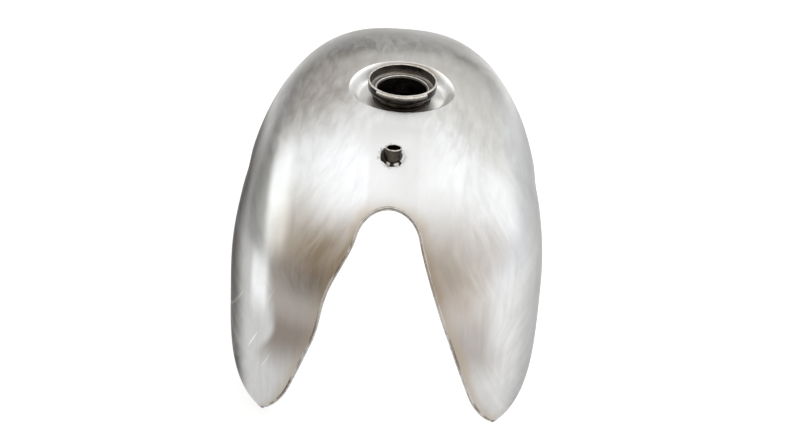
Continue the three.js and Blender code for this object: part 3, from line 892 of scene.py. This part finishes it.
def make_vent():
    outline = rounded([
        (VENT_INNER, -VENT_DROP, 0.3), (VENT_OUTER, -VENT_DROP, 0.3),
        (VENT_OUTER, VENT_RISE - 1.1, 0), (VENT_OUTER, VENT_RISE - 0.6, 0),
        (VENT_OUTER, VENT_RISE, 0.3), (VENT_INNER, VENT_RISE, 0.3),
        (VENT_INNER, VENT_RISE - 0.6, 0), (VENT_INNER, VENT_RISE - 1.1, 0),
    ])

    def radial(radius, height, turn):
        ragged = np.where(height > VENT_RISE - 1, -0.16 * (1 + np.sin(5 * turn) * np.sin(3 * turn + 1)), 0)
        return radius, height + ragged

    def soot_and_shade(radius, height):
        return 0.99 * (1 - smooth(height, VENT_RISE - 1.1, VENT_RISE - 0.6))
    return turned("vent_tube", outline, at_vent, 96, radial, soot_and_shade)


def skin_point_at(x, y):
    """A point of the skin near the crown with its normal, from its plan position."""
    s = y + LENGTH / 2
    a = np.arctan2(x, section(s)[1])
    for _ in range(6):
        a = a + (x - raw_skin(s, a)[..., 0]) / np.maximum(section(s)[1], 1)
    return skin(s, a), raw_normal(s, a)


def make_vent_weld():
    """A lumpy bead around the root of the tube, with spatter about it."""
    turn = np.linspace(0, 2 * math.pi, 220, endpoint=False)
    lumps = 0.5 * np.sin(turn * 4 + 0.9) + 0.4 * np.sin(turn * 7 + 2.1) + 0.3 * np.sin(turn * 13 + 0.3)
    radius = VENT_OUTER + 1.35 + 0.18 * lumps + 0.35 * np.maximum(-np.cos(turn), 0)
    x, y = VENT_SIDE + radius * np.cos(turn), VENT_TOP[1] + radius * np.sin(turn)
    path, up = skin_point_at(x, y)
    along = np.gradient(np.vstack([path[-2:], path, path[:2]]), axis=0)[2:-2]
    along /= np.linalg.norm(along, axis=1, keepdims=True)
    across = np.cross(along, up)
    width = 3.7 + 0.5 * lumps + 0.9 * np.maximum(-np.cos(turn), 0) ** 2
    height = 1.5 + 0.3 * lumps
    obj = bead("vent_weld_bead", path, up, across, width, height, sides=14, closed=True, sink=0.2)
    bm = bmesh.new()
    bm.from_mesh(obj.data)
    rng = np.random.default_rng(5)
    for _ in range(16):
        angle = rng.uniform(0, 2 * math.pi)
        reach = rng.uniform(10.2, 11.6)
        x = np.array(VENT_SIDE + reach * math.cos(angle))
        y = np.array(VENT_TOP[1] + reach * math.sin(angle))
        point, up_here = skin_point_at(x, y)
        size = rng.uniform(0.25, 0.6)
        turn_to = Vector(up_here).to_track_quat("Z", "Y").to_matrix().to_4x4()
        place = Matrix.Translation(Vector(point / 1000)) @ turn_to @ Matrix.Diagonal((1, 1, 0.6, 1))
        bmesh.ops.create_icosphere(bm, subdivisions=2, radius=size / 1000, matrix=place)
    for face in bm.faces:
        face.smooth = True
    bm.to_mesh(obj.data)
    bm.free()
    aside = np.array([vertex.co.x * 1000 for vertex in obj.data.vertices]) - VENT_SIDE
    wander = value_noise(aside * 3, 8)
    ahead = np.array([vertex.co.y * 1000 for vertex in obj.data.vertices]) - VENT_TOP[1]
    angle = np.degrees(np.arctan2(ahead, aside))
    soot_and_shade = 1 - smooth(aside + 2.0 * wander, -7.0, -3.0)
    for middle, half in ((-95, 12), (-50, 9), (-136, 11)):
        soot_and_shade = np.maximum(soot_and_shade, 1 - smooth(np.abs(angle - middle) + 3 * wander, half * 0.6, half * 1.4))
    paint(obj, "clean", 1 + 0 * aside)
    paint(obj, "soot_and_shade", soot_and_shade)
    return obj


# ---------- Floor fittings ----------


def threaded(bore, low, high, pitch=1.25):
    """Turns the wall of a bore into a screw thread."""
    def radial(radius, height, turn):
        wall = (np.abs(radius - bore) < 0.05) & (height > low + 0.3) & (height < high - 0.3)
        phase = (height / pitch - turn / (2 * math.pi)) % 1
        return np.where(wall, radius + 0.55 * np.abs(2 * phase - 1), radius), height
    return radial


def make_mount(name, x, y):
    radius, height, bore, depth = 9.0, 14.0, 3.4, 11.0
    wall = [(bore, z, 0) for z in np.linspace(depth, 0.6, 45)]
    outline = rounded([
        (bore + 0.6, 0, 0), (radius, 0, 0.3), (radius, height - 1.5, 0.3), (radius - 1.5, height, 0.3),
        (0.02, height, 0), (0.02, depth, 0), *wall,
    ], 3)
    return turned(name, outline, lambda p: p + [x, y, 0], 48, threaded(bore, 0.6, depth))


def make_tap(name, x, y):
    radius, height, bore = 11.0, 12.0, 6.0
    wall = [(bore, z, 0) for z in np.linspace(height - 0.6, 0.6, 45)]
    outline = rounded([
        (bore + 0.6, 0, 0), (radius, 0, 0.3), (radius, height, 0.6), (bore + 0.6, height, 0), *wall,
    ], 3)
    return turned(name, outline, lambda p: p + [x, y, 0], 64, threaded(bore, 0.6, height - 0.6))


# ---------- Materials ----------


class Nodes:
    """A short way to write a node material."""

    def __init__(self, name):
        self.material = bpy.data.materials.new(name)
        self.material.use_nodes = True
        self.tree = self.material.node_tree
        self.tree.nodes.clear()
        self.output = self.tree.nodes.new("ShaderNodeOutputMaterial")
        self.coords = self.tree.nodes.new("ShaderNodeTexCoord").outputs["Object"]

    def put(self, socket, value):
        if isinstance(value, bpy.types.NodeSocket):
            self.tree.links.new(value, socket)
        else:
            socket.default_value = value

    def node(self, kind, inputs, out=0, **settings):
        made = self.tree.nodes.new(kind)
        for key, value in settings.items():
            setattr(made, key, value)
        for key, value in inputs.items():
            self.put(made.inputs[key], value)
        return made.outputs[out]

    def math(self, operation, a, b=0.0, clamp=False):
        return self.node("ShaderNodeMath", {0: a, 1: b}, operation=operation, use_clamp=clamp)

    def add(self, a, b):
        return self.math("ADD", a, b)

    def times(self, a, b):
        return self.math("MULTIPLY", a, b)

    def attribute(self, name):
        return self.node("ShaderNodeAttribute", {}, out="Fac", attribute_name=name)

    def stretched(self, scale, turn=(0, 0, 0)):
        """Coordinates turned about the axes, then multiplied by a scale for each."""
        cells = tuple(1 / number for number in scale)
        return self.node("ShaderNodeMapping", {"Vector": self.coords, "Rotation": turn, "Scale": cells},
                         vector_type="TEXTURE")

    def noise(self, vector, scale=1.0, detail=3.0, rough=0.5, distortion=0.0):
        return self.node("ShaderNodeTexNoise", {
            "Vector": vector, "Scale": scale, "Detail": detail, "Roughness": rough, "Distortion": distortion,
        })

    def span(self, value, low, high, to_low=0.0, to_high=1.0):
        return self.node("ShaderNodeMapRange", {0: value, 1: low, 2: high, 3: to_low, 4: to_high},
                         interpolation_type="SMOOTHSTEP")

    def split(self, vector):
        return self.node("ShaderNodeSeparateXYZ", {0: vector}, out=slice(0, 3))

    def within(self, value, start, end):
        """1 between two soft edges, each given as where it begins and where it is complete."""
        return self.times(self.span(value, *start), self.span(value, *end, 1.0, 0.0))

    def blend(self, share, a, b):
        """A number between a and b."""
        return self.node("ShaderNodeMix", {0: share, 2: a, 3: b})

    def mix(self, share, a, b):
        """A colour between a and b."""
        return self.node("ShaderNodeMix", {0: share, 6: a, 7: b}, out=2, data_type="RGBA")

    def finish(self, colour, roughness, bump, distance, grazing=None, **fixed):
        shader = self.tree.nodes.new("ShaderNodeBsdfPrincipled")
        self.put(shader.inputs["Base Color"], colour)
        self.put(shader.inputs["Roughness"], roughness)
        shader.inputs["Metallic"].default_value = 1.0
        if grazing is not None:
            self.put(shader.inputs["Specular Tint"], grazing)
        for key, value in fixed.items():
            shader.inputs[key].default_value = value
        if bump is not None:
            inputs = {"Height": bump, "Distance": distance, "Strength": 1.0}
            relief = self.node("ShaderNodeBump", inputs, out="Normal")
            self.put(shader.inputs["Normal"], relief)
        self.tree.links.new(shader.outputs[0], self.output.inputs["Surface"])
        return self.material


def rgb(r, g, b):
    return (r, g, b, 1.0)


def sanded(n):
    """Streaks left by sanding by hand: down the front, leaning in patches, and lengthwise on the flanks."""
    normal = n.node("ShaderNodeNewGeometry", {}, out="Normal")
    facing = n.node("ShaderNodeSeparateXYZ", {0: normal}, out="X")
    flank = n.span(n.math("ABSOLUTE", facing), 0.55, 0.95)
    down = n.noise(n.stretched((150, 30, 9), (0.4, 0.03, 0)), 1.0, 5.0, 0.6, 0.4)
    left_lean = n.noise(n.stretched((170, 40, 11), (0.3, -0.48, 0)), 1.0, 5.0, 0.6, 0.4)
    right_lean = n.noise(n.stretched((170, 40, 11), (0.3, 0.55, 0)), 1.0, 5.0, 0.6, 0.4)
    along = n.noise(n.stretched((22, 9, 140), (0.3, 0, 0)), 1.0, 5.0, 0.55, 0.6)
    patches = n.noise(n.coords, 11.0, 2.0)
    mixed = n.blend(n.span(patches, 0.50, 0.60), down, left_lean)
    mixed = n.blend(n.span(patches, 0.48, 0.40), mixed, right_lean)
    return n.blend(n.times(flank, 0.5), mixed, along)


# Places on the body in metres, but HEAT_FROM_ARCH in millimetres. Each pair is where a tone begins to
# change and where it has changed.
NOSE = (-0.10, -0.17)
LEFT_TO_RIGHT = (-0.02, 0.02)
SEAM_MIDDLE, SEAM_EDGE, SEAM_END = 0.0015, (0.019, 0.024), (-0.145, -0.16)
SCRATCHED_ASIDE, SCRATCHED_HEIGHT = (-0.085, -0.105), ((0.05, 0.08), (0.13, 0.16))
HEAT_HEIGHT, HEAT_FROM_ARCH, HEAT_LEFT_EDGE = ((0.062, 0.105), (0.165, 0.215)), (18.0, 54.0), (-0.099, -0.092)
HEAT_DARKEST = (0.140, 0.110)
LEFT_RIM_ASIDE, LEFT_RIM_HEIGHT = (-0.122, -0.134), ((0.085, 0.12), (0.19, 0.22))
BEHIND_ASIDE, BEHIND_ALONG, BEHIND_HEIGHT = (0.025, 0.065), (-0.10, -0.04), (0.15, 0.20)
LEFT_GRAZING, RIGHT_FLANK = (-0.113, -0.129), (0.100, 0.125)

# Tones that imitate reflections on the left flank: where across the tank, where by height, how strong,
# the colour, and whether only at the nose.
FLANK_TONES = (
    (((-0.117, -0.111), (-0.103, -0.097)), ((0.105, 0.135), (0.155, 0.180)),
     1.0, (0.92, 0.93, 0.95), True),
    (((-0.131, -0.125), (-0.108, -0.100)), ((0.165, 0.185), (0.215, 0.235)),
     0.75, (0.33, 0.325, 0.31), False),
    (((-0.108, -0.100), (-0.092, -0.080)), ((0.160, 0.185), (0.235, 0.252)),
     0.75, (0.85, 0.855, 0.86), False),
)


def ground_seam(n, colour, x, y):
    """The band ground smooth over the crown's weld, ahead of the vent."""
    aside = n.math("ABSOLUTE", n.add(x, -SEAM_MIDDLE))
    seam = n.times(n.span(aside, *SEAM_EDGE, 1.0, 0.0), n.span(y, *SEAM_END))
    return n.mix(n.times(seam, 0.55), colour, rgb(0.455, 0.448, 0.440))


def deep_scratches(n, colour, x, z):
    scratch = n.noise(n.stretched((520, 1, 14), (0, 0.42, 0)), 1.0, 1.0)
    scratched = n.times(n.span(x, *SCRATCHED_ASIDE), n.within(z, *SCRATCHED_HEIGHT))
    return n.mix(n.times(n.span(scratch, 0.66, 0.74, 0.0, 0.8), scratched), colour, rgb(0.80, 0.80, 0.80))


def heat_share(n, x, y, z, arch, wander):
    """Where welding heat has browned the lobes: up to an edge on the left, near the arch on the right."""
    ragged = n.add(arch, n.times(wander, 44.0))
    outward = n.add(n.times(wander, 0.016), n.span(z, 0.075, 0.11, 0.012, 0.0))
    left_zone = n.span(n.add(x, outward), *HEAT_LEFT_EDGE)
    zone = n.blend(n.span(x, *LEFT_TO_RIGHT), left_zone, n.span(ragged, *HEAT_FROM_ARCH, 1.0, 0.0))
    return n.times(n.times(zone, n.within(z, *HEAT_HEIGHT)), n.span(y, *NOSE))


def browned(n, colour, x, z, heat):
    brown = n.mix(n.span(z, *HEAT_DARKEST), rgb(0.285, 0.228, 0.182), rgb(0.190, 0.150, 0.120))
    strength = n.blend(n.span(x, *LEFT_TO_RIGHT), n.span(z, *HEAT_DARKEST, 0.50, 0.82), 0.50)
    return n.mix(n.times(heat, strength), colour, brown)


def painted_reflections(n, colour, x, y, z, clouds):
    """Tones that imitate what the skin mirrors from the front. They are painted on, and stay in any light."""
    patchy = n.span(clouds, 0.35, 0.62, 0.45, 1.0)
    for across, height, strength, tone, at_nose in FLANK_TONES:
        share = n.times(n.within(x, *across), n.within(z, *height))
        if at_nose:
            share = n.times(share, n.span(y, *NOSE))
        colour = n.mix(n.times(n.times(share, patchy), strength), colour, rgb(*tone))
    along = n.times(n.span(y, *BEHIND_ALONG), n.span(z, *BEHIND_HEIGHT))
    behind = n.times(n.span(x, *BEHIND_ASIDE), along)
    colour = n.mix(n.times(n.times(behind, patchy), 0.6), colour, rgb(0.37, 0.352, 0.335))
    return n.mix(n.times(n.span(x, *RIGHT_FLANK), 0.20), colour, rgb(0.40, 0.395, 0.385))


def body_steel():
    n = Nodes("hand_sanded_steel")
    streaks = sanded(n)
    clouds = n.noise(n.coords, 13.0, 4.0, 0.55)
    grit = n.noise(n.stretched((2200, 260, 260)), 1.0, 2.0)
    x, y, z = n.split(n.coords)
    arch = n.attribute("arch_mm")
    wander = n.add(n.noise(n.stretched((26, 26, 12), (0.2, 0.3, 0)), 1.0, 3.0), -0.5)
    colour = n.mix(n.span(streaks, 0.32, 0.68), rgb(0.475, 0.472, 0.470), rgb(0.572, 0.573, 0.575))
    colour = n.mix(n.span(clouds, 0.40, 0.66, 0.0, 0.55), colour, rgb(0.470, 0.462, 0.450))
    colour = ground_seam(n, colour, x, y)
    colour = deep_scratches(n, colour, x, z)
    # The dark left rim imitates a reflection too.
    left_rim = n.times(n.span(x, *LEFT_RIM_ASIDE), n.within(z, *LEFT_RIM_HEIGHT))
    colour = n.mix(n.times(left_rim, n.span(clouds, 0.35, 0.6, 0.35, 0.75)), colour, rgb(0.24, 0.235, 0.225))
    heat = heat_share(n, x, y, z, arch, wander)
    colour = browned(n, colour, x, z, heat)
    colour = painted_reflections(n, colour, x, y, z, clouds)
    # Painted highlights on the filler dish, read from its vertices.
    colour = n.mix(n.attribute("painted_highlight"), colour, rgb(0.80, 0.80, 0.79))
    by_the_weld = n.span(n.add(arch, n.times(wander, 20.0)), 0.0, 13.0, 0.62, 0.0)
    colour = n.mix(by_the_weld, colour, rgb(0.36, 0.295, 0.215))
    speck = n.noise(n.coords, 380.0, 3.0)
    vent = n.add(n.attribute("vent_mm"), n.times(n.add(speck, -0.5), 12.0))
    mostly_left = n.span(x, -0.005, 0.0, 1.0, 0.25)
    burnt = n.times(n.span(vent, 9.0, 14.0, 0.92, 0.0), mostly_left)
    colour = n.mix(burnt, colour, rgb(0.060, 0.050, 0.045))
    roughness = n.add(n.span(streaks, 0.3, 0.7, 0.30, 0.40), n.span(clouds, 0.3, 0.7, -0.04, 0.05))
    roughness = n.add(roughness, n.times(heat, 0.06))
    bump = n.add(n.times(streaks, 0.5), n.times(grit, 0.25))
    # This weaker gloss at shallow angles on both flanks is painted too, to imitate a dark reflection.
    grazing = n.mix(n.span(x, *LEFT_GRAZING), rgb(1, 1, 1), rgb(0.12, 0.115, 0.11))
    grazing = n.mix(n.span(x, *RIGHT_FLANK), grazing, rgb(0.48, 0.48, 0.48))
    return n.finish(colour, roughness, bump, 0.00012, grazing)


def pan_steel():
    n = Nodes("mill_steel")
    streaks = n.noise(n.stretched((260, 20, 260)), 1.0, 4.0)
    blotches = n.noise(n.coords, 22.0, 5.0, 0.6)
    colour = n.mix(n.span(streaks, 0.35, 0.65), rgb(0.33, 0.32, 0.31), rgb(0.50, 0.49, 0.48))
    colour = n.mix(n.span(blotches, 0.45, 0.7, 0.0, 0.5), colour, rgb(0.34, 0.28, 0.23))
    roughness = n.span(blotches, 0.3, 0.7, 0.40, 0.58)
    return n.finish(colour, roughness, n.add(streaks, blotches), 0.00012)


def weld_steel():
    n = Nodes("burnt_weld")
    grain = n.noise(n.coords, 900.0, 4.0, 0.6)
    blotches = n.noise(n.coords, 120.0, 3.0)
    colour = n.mix(n.span(grain, 0.35, 0.65), rgb(0.10, 0.085, 0.075), rgb(0.26, 0.23, 0.20))
    colour = n.mix(n.span(blotches, 0.5, 0.7, 0.0, 0.6), colour, rgb(0.36, 0.30, 0.24))
    colour = n.mix(n.attribute("clean"), colour, rgb(0.52, 0.51, 0.50))
    # Dark where a weld is burnt, and painted shade on the neck weld under the cup.
    colour = n.mix(n.attribute("soot_and_shade"), colour, rgb(0.030, 0.025, 0.022))
    return n.finish(colour, n.span(grain, 0.3, 0.7, 0.42, 0.62), grain, 0.0003)


def filler_steel():
    n = Nodes("filler_steel")
    grain = n.noise(n.stretched((300, 300, 1400)), 1.0, 4.0)
    blotches = n.noise(n.coords, 110.0, 4.0, 0.6)
    colour = n.mix(n.span(grain, 0.35, 0.65), rgb(0.47, 0.44, 0.41), rgb(0.66, 0.64, 0.61))
    colour = n.mix(n.span(blotches, 0.5, 0.7, 0.0, 0.45), colour, rgb(0.34, 0.28, 0.23))
    # The dark colour is partly burnt steel and partly painted shade, where the cup and neck lie under the
    # flanges and in the bore.
    burnt = n.mix(n.span(blotches, 0.4, 0.65), rgb(0.024, 0.021, 0.019), rgb(0.078, 0.066, 0.056))
    colour = n.mix(n.attribute("soot_and_shade"), colour, burnt)
    return n.finish(colour, n.span(blotches, 0.3, 0.7, 0.24, 0.40), grain, 0.00005)


def boss_steel():
    n = Nodes("turned_steel")
    rings = n.noise(n.stretched((120, 120, 2600)), 1.0, 3.0)
    blotches = n.noise(n.coords, 60.0, 4.0)
    colour = n.mix(n.span(blotches, 0.4, 0.7), rgb(0.58, 0.58, 0.59), rgb(0.46, 0.44, 0.42))
    return n.finish(colour, n.span(rings, 0.35, 0.65, 0.25, 0.42), rings, 0.00008)


MATERIALS = {
    "body_steel": body_steel(),
    "pan_steel": pan_steel(),
    "weld_steel": weld_steel(),
    "filler_steel": filler_steel(),
    "boss_steel": boss_steel(),
}


def place(obj, slot, *nodes):
    """Gives a piece its finish, and puts it in the place of its CAD nodes."""
    obj.data.materials.clear()
    obj.data.materials.append(MATERIALS[slot])
    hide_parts(*nodes)
    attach(obj, "root")


# ---------- Assembly ----------

for side_name, side_sign in (("left", -1), ("right", 1)):
    place(make_shell(side_sign), "body_steel", f"shell_{side_name}")
    place(make_floor(side_sign), "pan_steel", f"floor_plate_{side_name}")
    place(make_floor_weld(side_sign), "weld_steel", f"floor_weld_{side_name}")
    for end_name, mount_station in MOUNT_STATIONS.items():
        mount_x, mount_y = side_sign * floor_middle(mount_station), mount_station - LENGTH / 2
        mount = make_mount(f"{end_name}_mount_{side_name}", mount_x, mount_y)
        place(mount, "boss_steel", f"mount_boss_{end_name}_{side_name}")
    tap = make_tap(f"tap_bung_{side_name}", side_sign * floor_middle(TAP_STATION), TAP_STATION - LENGTH / 2)
    place(tap, "boss_steel", f"tap_boss_{side_name}")

place(
    make_seam(
        "crown_weld_front",
        lambda x: station_where(1.0, VENT_STATION - 9, x, tunnel_edge),
        lambda x: station_where(VENT_STATION, VENT_STATION - 12, x, vent_field),
    ),
    "body_steel", "crown_seam_front",
)
place(
    make_seam(
        "crown_weld_middle",
        lambda x: station_where(VENT_STATION, VENT_STATION + 12, x, vent_field),
        lambda x: station_where(FILLER_STATION, VENT_STATION + 12, x, dish_field),
    ),
    "body_steel", "crown_seam_middle",
)
place(
    make_seam(
        "crown_weld_rear",
        lambda x: station_where(FILLER_STATION, FILLER_STATION + 80, x, dish_field),
        lambda x: station_where(LENGTH - 1.0, LENGTH - 40, x, tunnel_edge),
    ),
    "body_steel", "crown_seam_rear",
)
place(make_pan(), "pan_steel", "tunnel_pan")
place(make_arch_weld(False), "weld_steel", "arch_weld_front")
place(make_arch_weld(True), "weld_steel", "arch_weld_rear")
place(make_dish(), "body_steel", "filler_recess")
place(make_neck(), "filler_steel", "filler_neck_tube")
place(make_cup(), "filler_steel", "bayonet_ring")
place(make_gasket_seat(), "filler_steel", "gasket_seat")
place(make_neck_weld(), "weld_steel", "neck_weld")
place(make_vent(), "filler_steel", "vent_spigot")
place(make_vent_weld(), "weld_steel", "vent_weld")

for baffle in ("baffle_front", "baffle_rear"):
    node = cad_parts[baffle]
    node.data.materials.clear()
    node.data.materials.append(MATERIALS["pan_steel"])

# ---------- Stage, light and camera ----------


FLOOR_REACH, FLOOR_GAP = 12.0, 0.0005
FLOOR_GLOW, FLOOR_GLOW_ASIDE = (0.85, 1.20), (-0.05, 0.35)  # brighter to the right
FLOOR_GLOW_BENEATH = 0.22  # more light under the tunnel


def make_floor_plane():
    """A pale floor that glows, a little unevenly, so that it comes out white behind the tank."""
    mesh = bpy.data.meshes.new("studio_floor")
    corners = [(-FLOOR_REACH, -FLOOR_REACH, 0), (FLOOR_REACH, -FLOOR_REACH, 0)]
    corners += [(FLOOR_REACH, FLOOR_REACH, 0), (-FLOOR_REACH, FLOOR_REACH, 0)]
    mesh.from_pydata(corners, [], [(0, 1, 2, 3)])
    obj = bpy.data.objects.new("studio_floor", mesh)
    bpy.context.scene.collection.objects.link(obj)
    obj.location.z = -FLOOR_GAP
    n = Nodes("studio_floor")
    x, y, _ = n.split(n.coords)
    beneath = n.times(n.span(n.math("ABSOLUTE", x), 0.06, 0.12, 1.0, 0.0), n.span(y, 0.5, 0.3))
    glow = n.add(n.span(x, *FLOOR_GLOW_ASIDE, *FLOOR_GLOW), n.times(beneath, FLOOR_GLOW_BENEATH))
    shader = n.tree.nodes.new("ShaderNodeBsdfPrincipled")
    shader.inputs["Base Color"].default_value = rgb(0.20, 0.20, 0.20)
    shader.inputs["Roughness"].default_value = 0.9
    shader.inputs["Specular IOR Level"].default_value = 0.1
    shader.inputs["Emission Color"].default_value = rgb(1, 1, 1)
    n.tree.links.new(glow, shader.inputs["Emission Strength"])
    n.tree.links.new(shader.outputs[0], n.output.inputs["Surface"])
    mesh.materials.append(n.material)


def softbox(name, location, target, width, height, watts):
    light = bpy.data.lights.new(name, "AREA")
    light.shape = "RECTANGLE"
    light.size, light.size_y = width, height
    light.energy = watts
    obj = bpy.data.objects.new(name, light)
    bpy.context.scene.collection.objects.link(obj)
    obj.location = location
    obj.rotation_mode = "QUATERNION"
    obj.rotation_quaternion = (Vector(target) - Vector(location)).to_track_quat("-Z", "Y")


# Rings of coloured light that the skin mirrors. For each patch: its direction in degrees to the right of
# the front, and its red, green and blue. These values weren't chosen by hand: they are the rounded result
# of a least-squares fit to the photograph's tones, made by another program. They aren't plain studio
# light, and should be replaced by even, pale surroundings.
LOW_RING = (
    (-140, 0.12, 0.12, 0.12), (-105, 0.12, 0.12, 0.12), (-72, 0.99, 1.01, 0.98), (-42, 0.12, 0.12, 0.12),
    (-12, 0.12, 0.12, 0.12), (16, 0.78, 0.66, 0.58), (46, 1.38, 1.28, 1.17), (80, 1.66, 1.70, 1.75),
    (115, 1.07, 1.10, 1.15), (150, 1.07, 1.11, 1.12), (180, 0.12, 0.12, 0.12),
)
MIDDLE_RING = (
    (-150, 0.57, 0.51, 0.45), (-105, 1.70, 1.75, 1.75), (-60, 0.88, 0.79, 0.66), (-12, 0.46, 0.32, 0.15),
    (30, 1.03, 0.94, 0.83), (72, 1.14, 1.08, 1.03), (115, 1.95, 1.99, 2.00), (160, 1.12, 1.10, 1.03),
)
OVERHEAD_RING = ((0, 1.71, 1.74, 1.77),)
BETWEEN_PATCHES = (0.72, 0.67, 0.63)
# Height in degrees, and the angles from a patch's centre over which it fades out.
RINGS = ((5, 10, 34, LOW_RING), (40, 12, 36, MIDDLE_RING), (90, 16, 46, OVERHEAD_RING))


def make_world():
    """The surroundings: a base colour with the rings' patches laid over it."""
    world = bpy.data.worlds.new("studio")
    bpy.context.scene.world = world
    world.use_nodes = True
    n = Nodes.__new__(Nodes)
    n.tree = world.node_tree
    n.tree.nodes.clear()
    direction = n.tree.nodes.new("ShaderNodeTexCoord").outputs["Generated"]
    colour = rgb(*BETWEEN_PATCHES)
    for height, full, none, patches in RINGS:
        up = math.radians(height)
        for aside, red, green, blue in patches:
            turn = math.radians(aside)
            centre = (math.sin(turn) * math.cos(up), -math.cos(turn) * math.cos(up), math.sin(up))
            inputs = {0: direction, 1: centre}
            near = n.node("ShaderNodeVectorMath", inputs, out="Value", operation="DOT_PRODUCT")
            share = n.span(near, math.cos(math.radians(none)), math.cos(math.radians(full)))
            colour = n.mix(share, colour, rgb(red, green, blue))
    background = n.node("ShaderNodeBackground", {"Color": colour, "Strength": 1.0})
    output = n.tree.nodes.new("ShaderNodeOutputWorld")
    n.tree.links.new(background, output.inputs["Surface"])


CAMERA_PITCH, CAMERA_YAW, CAMERA_ROLL = math.radians(25.3), math.radians(0.3), math.radians(3.7)
CAMERA_LENS, SENSOR = 67.5, 36.0
CAMERA_AIM = Vector((0.004, -0.1034, 0.2828))  # the centre of the filler's rim
CAMERA_OFFSET = (0.00242, 0.1248, 1.344)  # of that point in the camera's own axes


def make_camera():
    forward = Vector((
        math.sin(CAMERA_YAW) * math.cos(CAMERA_PITCH),
        math.cos(CAMERA_YAW) * math.cos(CAMERA_PITCH),
        -math.sin(CAMERA_PITCH),
    ))
    right = Vector((math.cos(CAMERA_YAW), -math.sin(CAMERA_YAW), 0))
    up = right.cross(forward)
    x_axis = right * math.cos(CAMERA_ROLL) + up * math.sin(CAMERA_ROLL)
    y_axis = up * math.cos(CAMERA_ROLL) - right * math.sin(CAMERA_ROLL)
    camera = bpy.data.cameras.new("camera")
    camera.lens, camera.sensor_width = CAMERA_LENS, SENSOR
    camera.clip_start, camera.clip_end = 0.05, 60
    obj = bpy.data.objects.new("camera", camera)
    bpy.context.scene.collection.objects.link(obj)
    obj.rotation_mode = "QUATERNION"
    obj.rotation_quaternion = Matrix((x_axis, y_axis, -forward)).transposed().to_quaternion()
    aside, above, away = CAMERA_OFFSET
    obj.location = CAMERA_AIM - x_axis * aside - y_axis * above - forward * away
    bpy.context.scene.camera = obj


make_floor_plane()
make_world()
softbox("overhead", (0.0, -0.2, 2.4), (0, 0, 0), 2.4, 1.8, 4)
make_camera()
bpy.context.scene.view_settings.view_transform = "Standard"
